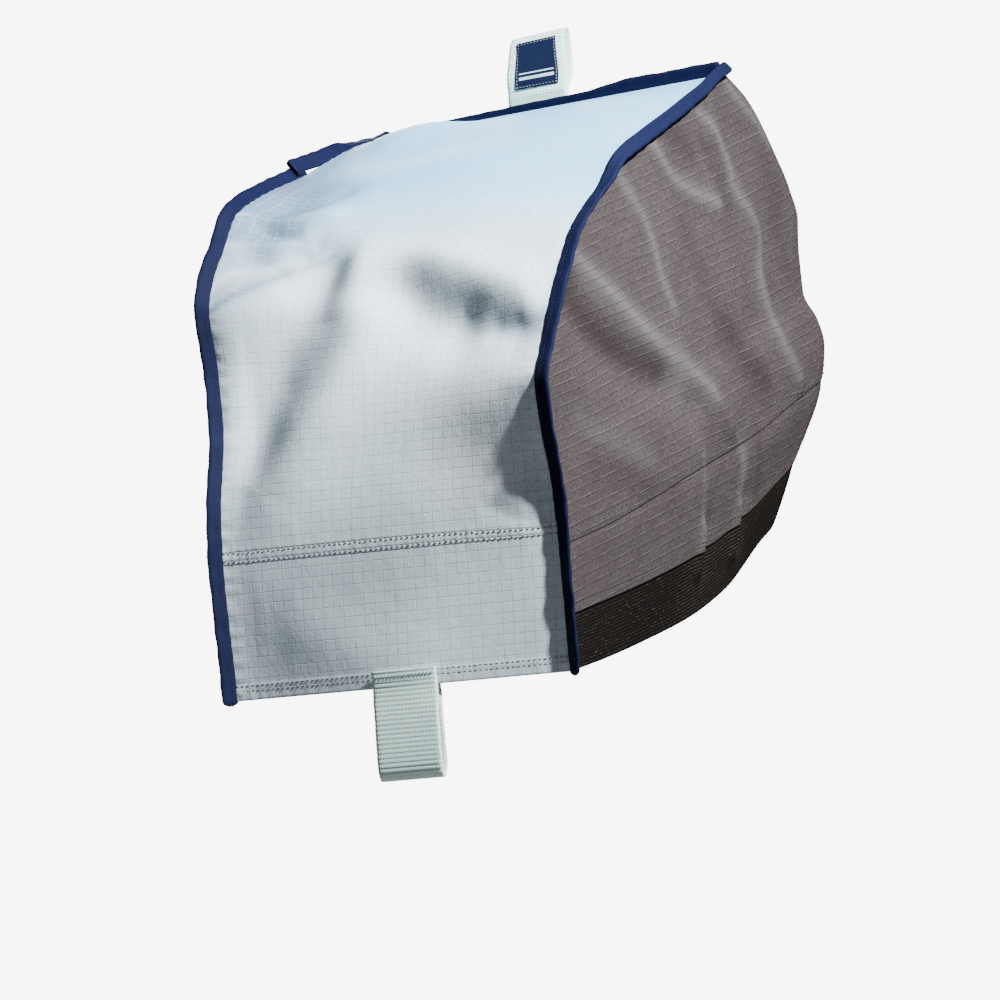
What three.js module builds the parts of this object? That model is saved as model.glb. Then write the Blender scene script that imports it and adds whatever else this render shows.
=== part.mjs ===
import * as THREE from 'three';

// A fitted cloth cover for a small outboard motor, as it hangs on the motor, which is left out.
// One pale strip of cloth makes the back and the top, one darker cloth wraps side, front and side,
// a bound edge stands up along their seam, and a ribbed elastic band closes the wrap's hem.
// Millimetres. X is the width, Y runs from the back to the front, Z is up.

// Driving dimensions
const HALF_WIDTH = 121.5;
const STRIP_LENGTH = 610;
const CLOTH = 1.6;
const CLEARANCE = 0.3;
const SEAM_HEIGHT = 99;
const SEAM_LAP = 9;
const HEM_DEPTH = 12;
const HEM_EXTRA = 0.7;
const BAND_THICKNESS = 1.8;
const EDGE_SETBACK = 2.8;
const BINDING_THICKNESS = 3;
const BINDING_HEIGHT = 8.8;
const BINDING_ROOT = 1.4;
const BINDING_OVERHANG = 3;
const NEAR_BINDING_PAST = 6;
const FAR_BINDING_PAST = 2;
const NEAR_BINDING_RISE = 3;
const WEBBING_WIDTH = 46;
const WEBBING_THICKNESS = 1.5;
const WEBBING_RIB = 3;
const WEBBING_RIB_DEPTH = 0.35;
const LABEL_WIDTH = 31;
const LABEL_HEIGHT = 32;
const LABEL_LOWEST = 15.2;
const LABEL_THICKNESS = 0.9;

// The point under the top where the motor carries the cover: the frame's origin
const CARRIED_AT = new THREE.Vector3(0, 240, 366);

// The strip's two sewn edges as they hang. along: distance up the strip from its hem,
// farOut: how far the far edge stands out beyond the half width.
const EDGE = table(['along', 'nearY', 'nearZ', 'farY', 'farZ', 'farOut'], [
  [-10, 1, -10, 4, -12, 2],
  [0, 1, 0, 4, -2, 2],
  [80, 1, 80, 2, 78, 3],
  [120, -1, 120, 5, 118, 3],
  [164, -11, 162, 18, 160, 3.2],
  [190, -14, 188, 26, 185, 5],
  [222, 3, 216, 29, 217, 7],
  [260, 26, 248, 24, 254, 7.6],
  [288, 45, 269, 36, 278, 7.4],
  [316, 65, 288, 56, 298, 7],
  [344, 91, 303, 75, 318, 6.5],
  [372, 116, 315, 101, 327, 6],
  [412, 149, 336, 141, 335, 6],
  [462, 195, 350, 190, 343, 6],
  [510, 240, 362, 237, 354, 6],
  [558, 286, 375, 284, 363, 5],
  [610, 342, 388, 336, 368, 1],
  [625, 356, 392, 350, 371, 1],
]);

// Which way the binding stands along the near and the far edge: its share sideways and
// its share along the cloth's outward normal, and the near one's share of the full height
const LEAN = table(['along', 'nearSideways', 'nearNormal', 'farSideways', 'farNormal', 'nearHeight'], [
  [0, 1, 0.75, 1, 1, 1],
  [60, 1, 0.7, 1, 1, 1],
  [85, 1, 0.5, 1, 1, 1],
  [105, 1, 0.35, 1, 1, 1],
  [125, 1, 0.25, 1, 1, 1],
  [160, 1, 0.1, 1, 1, 0.95],
  [200, 1, 0.05, 1, 1, 0.95],
  [250, 1, 0.15, 1, 1, 1],
  [330, 1, 0.2, 1, 1, 0.9],
  [365, 1, 0.1, 1, 0.8, 0.78],
  [395, 0.95, -0.2, 1, 0.9, 0.85],
  [430, 0.75, -0.6, 1, 1, 0.88],
  [470, 0.65, -0.66, 0.7, 1.1, 0.88],
  [530, 0.65, -0.66, 0.8, 0.7, 0.8],
  [560, 0.65, -0.7, 1, 0.1, 0.74],
  [590, 0.65, -0.8, 1, 0.1, 0.7],
  [618, 0.65, -0.8, 1, 0.5, 0.7],
]);

// The front of the wrap below its top edge. drop: how far under the top corner.
const FRONT = table(['drop', 'frontY', 'halfWidth', 'cornerRadius'], [
  [0, 345, 121.5, 3.3],
  [14, 385, 121.5, 16],
  [29, 412, 122, 25],
  [53, 442, 124, 38],
  [78, 466, 126, 48],
  [100, 481, 126, 55],
  [125, 479, 127, 60],
  [150, 478, 128, 60],
  [168, 489, 132, 60],
  [184, 495, 133, 60],
  [210, 489, 131, 60],
  [226, 481, 129, 60],
  [243, 468, 125, 58],
  [260, 453, 121, 55],
  [280, 440, 117, 52],
  [300, 424, 113, 48],
  [316, 408, 110, 44],
]);

// Heights round the wrap, from the rear edge (0) along the side to the front corner (1)
// and on to the middle of the front (1.4).
const LEVELS = table(['round', 'hem', 'bandTop', 'seam'], [
  [0, 2, 41, 88],
  [0.2, 8, 50, 101],
  [0.4, 16, 60, 119],
  [0.6, 26, 73, 139],
  [0.8, 43, 94, 158],
  [1, 74, 122, 185],
  [1.15, 92, 146, 192],
  [1.4, 98, 152, 198],
]);

// Where the wrap's patch turns from its rear edge to its top edge, measured along the sewn edge
const KNEE = 262;
// Shares of the wrap from the middle of the front: flat front, then corner, then side
const FRONT_SHARE = 0.14;
const CORNER_SHARE = 0.38;
const KNEE_SHARE = 0.88;

// How the front binding stands: its share of the full height and how far it leans forward, in radians
const FRONT_BINDING = table(['across', 'height', 'lean'], [
  [-122, 0.55, 0.45],
  [-90, 0.55, 0.4],
  [-45, 0.5, 0.15],
  [-20, 0.6, -0.1],
  [14, 0.62, -0.1],
  [36, 0.85, -0.1],
  [60, 1, -0.1],
  [122, 1, -0.1],
]);

// Folds of the strip: height of a ridge (plus) or depth of a trough (minus), half width,
// and the line it follows as [across, along] pairs
const STRIP_FOLDS = [
  { height: -14, reach: 64, line: [[-35, 299], [-14, 257], [11, 209]] },
  { height: 5.5, reach: 80, line: [[-12, 76], [-12, 8]] },
  { height: 5.5, reach: 46, line: [[58, 196], [72, 165], [74, 128]] },
  { height: 11, reach: 25, line: [[-29, 306], [-23, 272], [-18, 248], [-26, 219], [-42, 195],
    [-58, 177], [-76, 157], [-92, 137]] },
  { height: -9.5, reach: 25, line: [[-46, 301], [-57, 268], [-71, 239], [-81, 207], [-88, 187],
    [-93, 160], [-98, 137]] },
  { height: 7, reach: 18, line: [[-19, 298], [8, 304], [40, 294], [70, 279], [100, 263], [107, 259]] },
  { height: -10.5, reach: 23, line: [[0, 278], [22, 256], [49, 243], [76, 236]] },
  { height: -6, reach: 12, line: [[72, 238], [98, 236], [120, 236]] },
  { height: 6, reach: 60, line: [[10, 430], [36, 470], [40, 520]] },
  { height: 7, reach: 30, line: [[-80, 540], [-80, 568]] },
  { height: -4, reach: 9, line: [[-119, 338], [-97, 336], [-65, 328]] },
  { height: 4, reach: 8, line: [[-119, 319], [-96, 321], [-71, 331]] },
  { height: -3.5, reach: 7, line: [[-119, 299], [-99, 305], [-71, 317]] },
  { height: 4, reach: 9, line: [[-118, 280], [-103, 291], [-83, 309]] },
  { height: -1.5, reach: 6, line: [[-116, 262], [-98, 280], [-80, 297]] },
  { height: 3, reach: 9, line: [[-119, 352], [-90, 350], [-60, 356]] },
  { height: -4, reach: 14, line: [[-112, 376], [-86, 382], [-66, 392]] },
  { height: -1.8, reach: 5, line: [[77, 111], [91, 104], [111, 100]] },
  { height: -1.2, reach: 30, line: [[-126, 70], [-114, 40], [-103, 0]] },
  { height: 1.2, reach: 22, line: [[-61, 42], [-25, 24], [13, 16]] },
  { height: -5, reach: 30, line: [[-92, 400], [-100, 360], [-104, 320]] },
];

// Folds of the near side, as [forward, up] pairs. The far side has them fainter.
const SIDE_FOLDS = [
  { height: 4, reach: 12, line: [[60, 268], [107, 244], [170, 212], [226, 188], [272, 152]] },
  { height: -5, reach: 17, line: [[42, 240], [84, 212], [131, 196], [178, 180], [215, 166]] },
  { height: 1.5, reach: 13, line: [[165, 305], [193, 254], [220, 210]] },
  { height: -2.5, reach: 22, line: [[250, 320], [275, 260], [310, 200], [320, 170]] },
  { height: 3, reach: 13, line: [[312, 345], [350, 295], [357, 254], [366, 223], [399, 178]] },
  { height: 1.6, reach: 11, line: [[205, 344], [233, 323], [269, 309], [304, 301]] },
  { height: 2, reach: 15, line: [[45, 188], [72, 162], [108, 143], [138, 126]] },
  { height: 3.5, reach: 6, line: [[237, 84], [234, 56]] },
  { height: -2.5, reach: 8, line: [[248, 88], [246, 58]] },
  { height: 3.5, reach: 7, line: [[301, 96], [297, 66]] },
  { height: -3, reach: 8, line: [[312, 104], [309, 72]] },
];
const FAR_FOLD_SHARE = 0.7;
const EDGE_FADE = 16;
const FRONT_GATHERS = 5;
const FRONT_GATHER_DEPTH = 3;

// How the wrap's patches ease into each other
const FRONT_ROUND = 0.4;
const FRONT_DEPTH = 316;
const TIP_FADE = 100;
const WIDTH_EASE = 6;
const SIDE_LENGTH = 900;
const REAR_STILL = 0.015;
const REAR_LOOSE = 0.1;
const GATHER_FULL = 0.05;
const GATHER_GONE = 0.45;

// Steps of the grids the pieces are built on
const STRIP_COLUMNS = 26;
const STRIP_ROWS = 42;
const WRAP_ROWS = 21;
const SIDE_BINDING_STEPS = 48;
const FRONT_BINDING_STEPS = 16;

// Reads a table at any key, smoothly and without overshoot between its rows
function table(columns, rows) {
  return (key) => {
    let low = 0;
    while (low < rows.length - 2 && key > rows[low + 1][0]) low += 1;
    const span = rows[low + 1][0] - rows[low][0];
    const part = THREE.MathUtils.clamp((key - rows[low][0]) / span, 0, 1);
    const result = {};
    columns.forEach((name, column) => {
      const slope = (row) => (rows[row + 1][column] - rows[row][column]) / (rows[row + 1][0] - rows[row][0]);
      const tangent = (row) => {
        if (row === 0) return slope(0);
        if (row === rows.length - 1) return slope(row - 1);
        const before = slope(row - 1);
        const after = slope(row);
        if (before * after <= 0) return 0;
        return 2 * before * after / (before + after);
      };
      const start = rows[low][column];
      const end = rows[low + 1][column];
      const square = part * part;
      const cube = square * part;
      result[name] = start * (2 * cube - 3 * square + 1) + end * (3 * square - 2 * cube)
        + span * tangent(low) * (cube - 2 * square + part) + span * tangent(low + 1) * (cube - square);
    });
    return result;
  };
}

const mix = THREE.MathUtils.lerp;
const smooth = THREE.MathUtils.smoothstep;

// Even steps from one value to another
function evenly(from, to, steps) {
  return Array.from({ length: steps + 1 }, (_, i) => mix(from, to, i / steps));
}

// Height of all folds of a list at a place on the cloth
function foldHeight(folds, first, second) {
  let total = 0;
  for (const fold of folds) {
    let nearest = Infinity;
    for (let i = 0; i < fold.line.length - 1; i += 1) {
      const [ax, ay] = fold.line[i];
      const [bx, by] = fold.line[i + 1];
      const length = (bx - ax) ** 2 + (by - ay) ** 2;
      const part = THREE.MathUtils.clamp(((first - ax) * (bx - ax) + (second - ay) * (by - ay)) / length, 0, 1);
      nearest = Math.min(nearest, Math.hypot(first - mix(ax, bx, part), second - mix(ay, by, part)));
    }
    total += fold.height * Math.exp(-((nearest / fold.reach) ** 2));
  }
  return total;
}

// The sewn edge on one side (1 near, -1 far): a point, how far it stands out beyond the
// half width, and the outward normal in the Y-Z plane
function edgeAt(side, along) {
  const pick = (row) => (side > 0 ? [row.nearY, row.nearZ, 0] : [row.farY, row.farZ, row.farOut]);
  const [y, z, out] = pick(EDGE(along));
  const [yBefore, zBefore] = pick(EDGE(along - 4));
  const [yAfter, zAfter] = pick(EDGE(along + 4));
  const length = Math.hypot(yAfter - yBefore, zAfter - zBefore);
  const normalY = -(zAfter - zBefore) / length;
  const normalZ = (yAfter - yBefore) / length;
  return { x: side * (HALF_WIDTH + out), y, z, out, normalY, normalZ };
}

// The strip's surface at a distance across from its middle and along from its hem
function stripPoint(across, along) {
  const near = edgeAt(1, along);
  const far = edgeAt(-1, along);
  const share = (across + HALF_WIDTH) / (2 * HALF_WIDTH);
  const atEdges = smooth(HALF_WIDTH - Math.abs(across), 0, EDGE_FADE * 1.6);
  const atFront = smooth(STRIP_LENGTH - along, 0, 2 * EDGE_FADE);
  const raised = foldHeight(STRIP_FOLDS, across, along) * atEdges * atFront;
  return new THREE.Vector3(
    mix(far.x, near.x, share),
    mix(far.y, near.y, share) + mix(far.normalY, near.normalY, share) * raised,
    mix(far.z, near.z, share) + mix(far.normalZ, near.normalZ, share) * raised,
  );
}

// A column of the wrap: place is -1 at the near rear edge, 0 in the middle of the front,
// 1 at the far rear edge
function wrapColumn(place) {
  const side = place < 0 ? 1 : -1;
  const fromFront = Math.abs(place);
  const forward = THREE.MathUtils.clamp((1 - fromFront) / (1 - CORNER_SHARE), 0, 1);
  const corner = THREE.MathUtils.clamp((CORNER_SHARE - fromFront) / (CORNER_SHARE - FRONT_SHARE), 0, 1);
  const acrossFront = THREE.MathUtils.clamp(fromFront / FRONT_SHARE, 0, 1);
  return { side, fromFront, forward, corner, acrossFront };
}

// Where a column stands in the table of levels
function roundAt({ forward, fromFront }) {
  return forward < 1 ? forward : 1 + FRONT_ROUND * (1 - fromFront / CORNER_SHARE);
}

// The wrap's top corner on one side, set back from the binding
function tipOf(side) {
  const edge = edgeAt(side, STRIP_LENGTH);
  return { y: edge.y - EDGE_SETBACK * edge.normalY, z: edge.z - EDGE_SETBACK * edge.normalZ };
}

function frontAt(side, z, level) {
  const tip = tipOf(side);
  const drop = Math.max(tip.z - z, 0);
  const row = FRONT(Math.min(drop, FRONT_DEPTH));
  const shift = (tip.y - tipOf(1).y) * (1 - smooth(drop, 0, TIP_FADE));
  const halfWidth = HALF_WIDTH + (row.halfWidth - HALF_WIDTH) * (1 - level ** WIDTH_EASE);
  return { frontY: row.frontY + shift, halfWidth, radius: row.cornerRadius };
}

// A point of the wrap at a column and a height level, 0 at the hem and 1 at the top edge
function wrapPoint(place, level) {
  const column = wrapColumn(place);
  const { side, forward } = column;
  const { hem } = LEVELS(roundAt(column));
  if (forward < 1) {
    const along = mix(KNEE, STRIP_LENGTH, forward);
    const top = edgeAt(side, along);
    const topY = top.y - EDGE_SETBACK * top.normalY;
    const topZ = top.z - EDGE_SETBACK * top.normalZ;
    const rear = edgeAt(side, level * KNEE);
    const rearHem = edgeAt(side, 0);
    const rearTop = edgeAt(side, KNEE);
    const rearY = rear.y - EDGE_SETBACK * rear.normalY;
    const rearZ = rear.z - EDGE_SETBACK * rear.normalZ;
    const rearStraightY = mix(rearHem.y - EDGE_SETBACK * rearHem.normalY,
      rearTop.y - EDGE_SETBACK * rearTop.normalY, level);
    const rearStraightZ = mix(LEVELS(0).hem, rearTop.z - EDGE_SETBACK * rearTop.normalZ, level);
    const z = mix(hem, topZ, level) + (1 - forward) ** 2 * (rearZ - rearStraightZ);
    const hemFront = frontAt(side, LEVELS(1).hem, 0);
    const hemY = mix(rearHem.y - EDGE_SETBACK * rearHem.normalY, hemFront.frontY - hemFront.radius, forward);
    const cornerTip = tipOf(side);
    const cornerZ = mix(LEVELS(1).hem, cornerTip.z, level);
    const cornerFront = frontAt(side, cornerZ, level);
    const cornerStraight = mix(hemFront.frontY - hemFront.radius, cornerTip.y, level);
    const y = mix(hemY, topY, level) + (1 - forward) ** 2 * (rearY - rearStraightY)
      + forward ** 2 * (cornerFront.frontY - cornerFront.radius - cornerStraight);
    const fade = smooth(forward * (1 - forward) * SIDE_LENGTH, 0, 2 * EDGE_FADE)
      * smooth((1 - level) * (topZ - hem), 0, EDGE_FADE);
    const share = side > 0 ? 1 : FAR_FOLD_SHARE;
    const fullness = (cornerFront.halfWidth - HALF_WIDTH) * Math.sin(forward * Math.PI / 2);
    const loose = Math.min(fade, smooth(forward, REAR_STILL, REAR_LOOSE));
    const raised = foldHeight(SIDE_FOLDS, y, z) * share * loose;
    const standOut = top.out * level + (1 - forward) ** 2 * (rear.out - rearTop.out * level);
    return new THREE.Vector3(side * (HALF_WIDTH + standOut + fullness + raised), y, z);
  }
  const across = column.side * column.acrossFront;
  const nearTip = tipOf(1);
  const farTip = tipOf(-1);
  const topZ = mix(farTip.z, nearTip.z, (across + 1) / 2);
  const z = mix(hem, topZ, level);
  const nearFront = frontAt(1, mix(hem, nearTip.z, level), level);
  const farFront = frontAt(-1, mix(hem, farTip.z, level), level);
  const share = (across + 1) / 2;
  const frontY = mix(farFront.frontY, nearFront.frontY, share);
  const halfWidth = mix(farFront.halfWidth, nearFront.halfWidth, share);
  const radius = mix(farFront.radius, nearFront.radius, share);
  const angle = column.corner * Math.PI / 2;
  const flat = halfWidth - radius;
  const x = column.side * (column.corner < 1 ? flat + radius * Math.cos(angle) : flat * column.acrossFront);
  const gather = FRONT_GATHER_DEPTH * (1 - smooth(level, GATHER_FULL, GATHER_GONE)) * Math.sin(angle)
    * Math.cos(FRONT_GATHERS * Math.PI * x / HALF_WIDTH);
  return new THREE.Vector3(x, frontY - radius + (radius - gather) * Math.sin(angle), z);
}

// The level of a wrap column at a height mark: 0 hem, 1 top of the band, 2 seam, 3 top edge
function levelAt(place, mark) {
  const column = wrapColumn(place);
  const heights = LEVELS(roundAt(column));
  const top = column.forward < 1
    ? edgeAt(column.side, mix(KNEE, STRIP_LENGTH, column.forward)).z
    : mix(tipOf(-1).z, tipOf(1).z, (column.side * column.acrossFront + 1) / 2);
  const level = (height) => (height - heights.hem) / (top - heights.hem);
  const marks = [0, level(heights.bandTop), level(heights.seam), 1];
  const low = Math.min(Math.floor(mark), 2);
  return mix(marks[low], marks[low + 1], mark - low);
}

// Turns a closed list of vertices and faces into a mesh geometry with its faces pointing out
function solid(vertices, faces) {
  let volume = 0;
  for (const [a, b, c] of faces) {
    volume += vertices[a].dot(new THREE.Vector3().crossVectors(vertices[b], vertices[c]));
  }
  const outward = volume < 0 ? faces.map(([a, b, c]) => [a, c, b]) : faces;
  const geometry = new THREE.BufferGeometry();
  const positions = vertices.flatMap((v) => [v.x, v.y, v.z]);
  geometry.setAttribute('position', new THREE.Float32BufferAttribute(positions, 3));
  geometry.setIndex(outward.flat());
  geometry.computeVertexNormals();
  return geometry;
}

// The wrap's outward normal is plainly sideways where its rear edge turns into its top edge
function steadyNormal(normal, place) {
  const column = wrapColumn(place);
  const share = 1 - smooth(column.forward, 0.1, 0.3);
  return normal.lerp(new THREE.Vector3(column.side, 0, 0), share).normalize();
}

// A sheet of cloth on a surface: pointAt gives its points at the listed columns and rows,
// lift moves its outer face along the outward normal, and steady sets that normal right
function sheet(pointAt, columnMarks, rowMarks, thickness, lift, outward, steady = (normal) => normal) {
  const outer = [];
  const inner = [];
  const columns = columnMarks.length - 1;
  const rows = rowMarks.length - 1;
  const near = (marks, mark, way) => {
    const step = (marks[marks.length - 1] - marks[0]) * 0.002;
    return THREE.MathUtils.clamp(mark + way * step, marks[0], marks[marks.length - 1]);
  };
  for (const v of rowMarks) {
    for (const u of columnMarks) {
      const alongU = pointAt(near(columnMarks, u, 1), v).sub(pointAt(near(columnMarks, u, -1), v));
      const alongV = pointAt(u, near(rowMarks, v, 1)).sub(pointAt(u, near(rowMarks, v, -1)));
      const normal = steady(alongU.cross(alongV).normalize().multiplyScalar(outward), u);
      const base = pointAt(u, v);
      const raised = lift(v);
      outer.push(base.clone().addScaledVector(normal, raised));
      inner.push(base.clone().addScaledVector(normal, raised - thickness));
    }
  }
  const wide = columns + 1;
  const count = outer.length;
  const faces = [];
  for (let row = 0; row < rows; row += 1) {
    for (let column = 0; column < columns; column += 1) {
      const a = row * wide + column;
      const b = a + 1;
      const c = a + wide;
      const d = c + 1;
      faces.push([a, b, d], [a, d, c]);
      faces.push([count + a, count + d, count + b], [count + a, count + c, count + d]);
    }
  }
  const rim = [];
  for (let column = 0; column < columns; column += 1) rim.push(column);
  for (let row = 0; row < rows; row += 1) rim.push(row * wide + columns);
  for (let column = columns; column > 0; column -= 1) rim.push(rows * wide + column);
  for (let row = rows; row > 0; row -= 1) rim.push(row * wide);
  rim.forEach((from, i) => {
    const to = rim[(i + 1) % rim.length];
    faces.push([from, count + from, to], [to, count + from, count + to]);
  });
  return solid([...outer, ...inner], faces);
}

// A bar with a closed section swept along a path: sections is a list of rings of points
function sweep(sections) {
  const sides = sections[0].length;
  const faces = [];
  for (let i = 0; i < sections.length - 1; i += 1) {
    for (let j = 0; j < sides; j += 1) {
      const a = i * sides + j;
      const b = i * sides + (j + 1) % sides;
      faces.push([a, b, b + sides], [a, b + sides, a + sides]);
    }
  }
  const last = (sections.length - 1) * sides;
  for (let j = 1; j < sides - 1; j += 1) {
    faces.push([0, j + 1, j], [last, last + j, last + j + 1]);
  }
  return solid(sections.flat(), faces);
}

// The folded binding's section: pairs of distance out from the seam and half thickness
const BINDING_SECTION = [
  [-BINDING_ROOT, BINDING_THICKNESS * 0.42],
  [BINDING_HEIGHT - 2, BINDING_THICKNESS * 0.55],
  [BINDING_HEIGHT, BINDING_THICKNESS * 0.3],
];

// One ring of a binding; height is its share of the full height
function bindingRing(root, out, cross, height) {
  const reach = (distance) => (distance > 0 ? distance * height : distance);
  const place = ([distance, half]) => root.clone()
    .addScaledVector(out, reach(distance))
    .addScaledVector(cross, half);
  const mirrored = BINDING_SECTION.map(([distance, half]) => [distance, -half]).reverse();
  return [...BINDING_SECTION.map(place), ...mirrored.map(place)];
}

// Binding along one sewn edge of the strip, standing out between strip and wrap
function sideBinding(side, past) {
  const sections = [];
  for (let i = 0; i <= SIDE_BINDING_STEPS; i += 1) {
    const along = mix(-BINDING_OVERHANG, STRIP_LENGTH + past, i / SIDE_BINDING_STEPS);
    const edge = edgeAt(side, along);
    const lean = LEAN(along);
    const [sideways, normal, height, rise] = side > 0
      ? [lean.nearSideways, lean.nearNormal, lean.nearHeight, NEAR_BINDING_RISE * smooth(along, 560, 606)]
      : [lean.farSideways, lean.farNormal, 1, 0];
    const out = new THREE.Vector3(side * sideways, normal * edge.normalY, normal * edge.normalZ);
    const cross = new THREE.Vector3(side * normal, -sideways * edge.normalY, -sideways * edge.normalZ);
    const root = new THREE.Vector3(edge.x, edge.y + rise * edge.normalY, edge.z + rise * edge.normalZ);
    sections.push(bindingRing(root, out.normalize(), cross.normalize(), height));
  }
  return sweep(sections);
}

// A point on the strip's front edge, where it meets the wrap's top edge
function frontEdge(across) {
  const near = edgeAt(1, STRIP_LENGTH);
  const far = edgeAt(-1, STRIP_LENGTH);
  const share = (across + HALF_WIDTH) / (2 * HALF_WIDTH);
  return new THREE.Vector3(across, mix(far.y, near.y, share), mix(far.z, near.z, share));
}

// Binding across the front end of the strip
function frontBinding() {
  const sections = [];
  const reach = HALF_WIDTH - BINDING_THICKNESS - 1;
  for (let i = 0; i <= FRONT_BINDING_STEPS; i += 1) {
    const at = mix(-reach, reach, i / FRONT_BINDING_STEPS);
    const { height, lean } = FRONT_BINDING(at);
    const out = new THREE.Vector3(0, Math.sin(lean), Math.cos(lean));
    const cross = new THREE.Vector3(0, Math.cos(lean), -Math.sin(lean));
    sections.push(bindingRing(frontEdge(at), out, cross, height));
  }
  return sweep(sections);
}

// A webbing loop: a ribbed strap along a path of [out, up] points, laid over a base line
function webbing(path, baseAt, columns) {
  const rings = [];
  path.forEach(([out, up], i) => {
    const before = path[Math.max(i - 1, 0)];
    const after = path[Math.min(i + 1, path.length - 1)];
    const length = Math.hypot(after[0] - before[0], after[1] - before[1]);
    const normal = [(after[1] - before[1]) / length, -(after[0] - before[0]) / length];
    const half = WEBBING_THICKNESS / 2 - (i % 2) * WEBBING_RIB_DEPTH;
    rings.push({ out, up, normal, half });
  });
  const sections = rings.map(({ out, up, normal, half }) => {
    const ring = [];
    for (const sign of [1, -1]) {
      for (let column = 0; column <= columns; column += 1) {
        const share = sign > 0 ? column / columns : 1 - column / columns;
        ring.push(baseAt(share - 0.5, out + sign * half * normal[0], up + sign * half * normal[1]));
      }
    }
    return ring;
  });
  return sweep(sections);
}

// Points of a loop's centre line at the ribs' spacing, from sparse [out, up] points
function ribbed(points) {
  const curve = new THREE.CatmullRomCurve3(points.map(([out, up]) => new THREE.Vector3(out, up, 0)));
  const steps = Math.round(curve.getLength() / (WEBBING_RIB / 2));
  return curve.getSpacedPoints(steps).map((p) => [p.x, p.y]);
}

// The loop that hangs from the middle of the hem, one layer on each face of the cloth
const REAR_LOOP = { centre: 5, room: 0.8 };

function rearLoop() {
  const outside = -(WEBBING_THICKNESS / 2 + REAR_LOOP.room + HEM_EXTRA);
  const inside = CLOTH + REAR_LOOP.room + WEBBING_THICKNESS / 2;
  const top = HEM_DEPTH - 1;
  const path = ribbed([
    [outside, top], [outside, 4], [outside - 0.2, -6], [outside - 1.2, -24], [outside - 2, -44],
    [outside - 1.6, -56], [outside + 1.2, -60.5], [inside - 0.6, -56], [inside + 0.8, -44],
    [inside + 0.4, -24], [inside + 0.2, -6], [inside, 4], [inside, top],
  ]);
  const middle = stripPoint(REAR_LOOP.centre, 0);
  return webbing(path, (share, out, up) => {
    const hem = stripPoint(REAR_LOOP.centre + share * WEBBING_WIDTH, Math.max(up, 0));
    const y = mix(hem.y, middle.y, smooth(-up, 3, 18));
    return new THREE.Vector3(hem.x, y + out, hem.z + Math.min(up, 0));
  }, 2);
}

// The loop that stands behind the front binding, leaning forward, with its base sewn shut
const TOP_LOOP = {
  centre: -16.7,
  width: 43.5,
  lean: 0.26,
  turn: -0.17,
  height: 50.5,
  open: 10,
  seat: 3.4,
  narrowing: 0.13,
  shift: 1.2,
  tip: 0.05,
};

// A point of the top loop, which narrows and tips a little towards its fold
function topLoopPoint(share, out, up) {
  const drawnIn = smooth(up, 14, 48);
  const across = share * TOP_LOOP.width * (1 - TOP_LOOP.narrowing * drawnIn);
  const base = frontEdge(TOP_LOOP.centre - TOP_LOOP.shift * drawnIn + across * Math.cos(TOP_LOOP.turn));
  const turned = -across * Math.sin(TOP_LOOP.turn) * smooth(up, 8, 26);
  return new THREE.Vector3(
    base.x,
    base.y + TOP_LOOP.seat + turned + out + Math.max(up - BINDING_HEIGHT, 0) * Math.tan(TOP_LOOP.lean),
    base.z + up + across * TOP_LOOP.tip * drawnIn,
  );
}

function topLoop() {
  const { height, open } = TOP_LOOP;
  const low = 1.4;
  const path = ribbed([
    [0, low], [0, 10], [-0.6, 22], [-0.8, height - 8], [open * 0.22, height - 1], [open * 0.7, height],
    [open, height - 7], [open - 0.6, 24], [4, 13], [WEBBING_THICKNESS + CLEARANCE + 0.2, low + 2],
  ]);
  return webbing(path, topLoopPoint, 2);
}

// The label sewn on the loop's rear face
function label() {
  const front = -(0.8 + WEBBING_THICKNESS / 2 + 2 * CLEARANCE);
  const pointAt = (across, up) => topLoopPoint(across / TOP_LOOP.width, front, LABEL_LOWEST + up);
  return sheet(pointAt, evenly(-LABEL_WIDTH / 2, LABEL_WIDTH / 2, 4), evenly(0, LABEL_HEIGHT, 4),
    LABEL_THICKNESS, () => LABEL_THICKNESS, 1);
}

// Looks of each cloth, as colour, roughness and metalness
const LOOKS = {
  paleCloth: [0xc4cfd6, 0.6],
  darkCloth: [0x766c6a, 0.75],
  binding: [0x1f2b52, 0.6],
  elastic: [0x16130f, 0.8],
  webbing: [0xbbcec9, 0.7],
  label: [0x2a3f68, 0.6],
};

const cover = new THREE.Group();

function add(name, look, geometry) {
  const [color, roughness] = LOOKS[look];
  const mesh = new THREE.Mesh(geometry, new THREE.MeshStandardMaterial({ color, roughness, metalness: 0 }));
  mesh.name = name;
  cover.add(mesh);
}

// The strip, in two cuts that lap at the felled seam
const lapLift = CLOTH + CLEARANCE;
const stripEnd = STRIP_LENGTH - BINDING_THICKNESS / 2 - 0.9;
const across = evenly(-HALF_WIDTH + EDGE_SETBACK, HALF_WIDTH - EDGE_SETBACK, STRIP_COLUMNS);
const lapRows = [SEAM_HEIGHT - SEAM_LAP, SEAM_HEIGHT];
add('back_and_top', 'paleCloth', sheet(
  stripPoint, across, [...lapRows, ...evenly(SEAM_HEIGHT + 12, stripEnd, STRIP_ROWS)], CLOTH,
  (along) => lapLift * (1 - smooth(along, SEAM_HEIGHT, SEAM_HEIGHT + 12)), 1,
));
add('back_skirt', 'paleCloth', sheet(
  stripPoint, across, [...evenly(0, HEM_DEPTH, 2), ...evenly(HEM_DEPTH + 9, SEAM_HEIGHT - 2 * SEAM_LAP, 5),
    ...lapRows], CLOTH,
  (along) => HEM_EXTRA * (1 - smooth(along, HEM_DEPTH - 4, HEM_DEPTH + 9)), 1,
));

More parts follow.
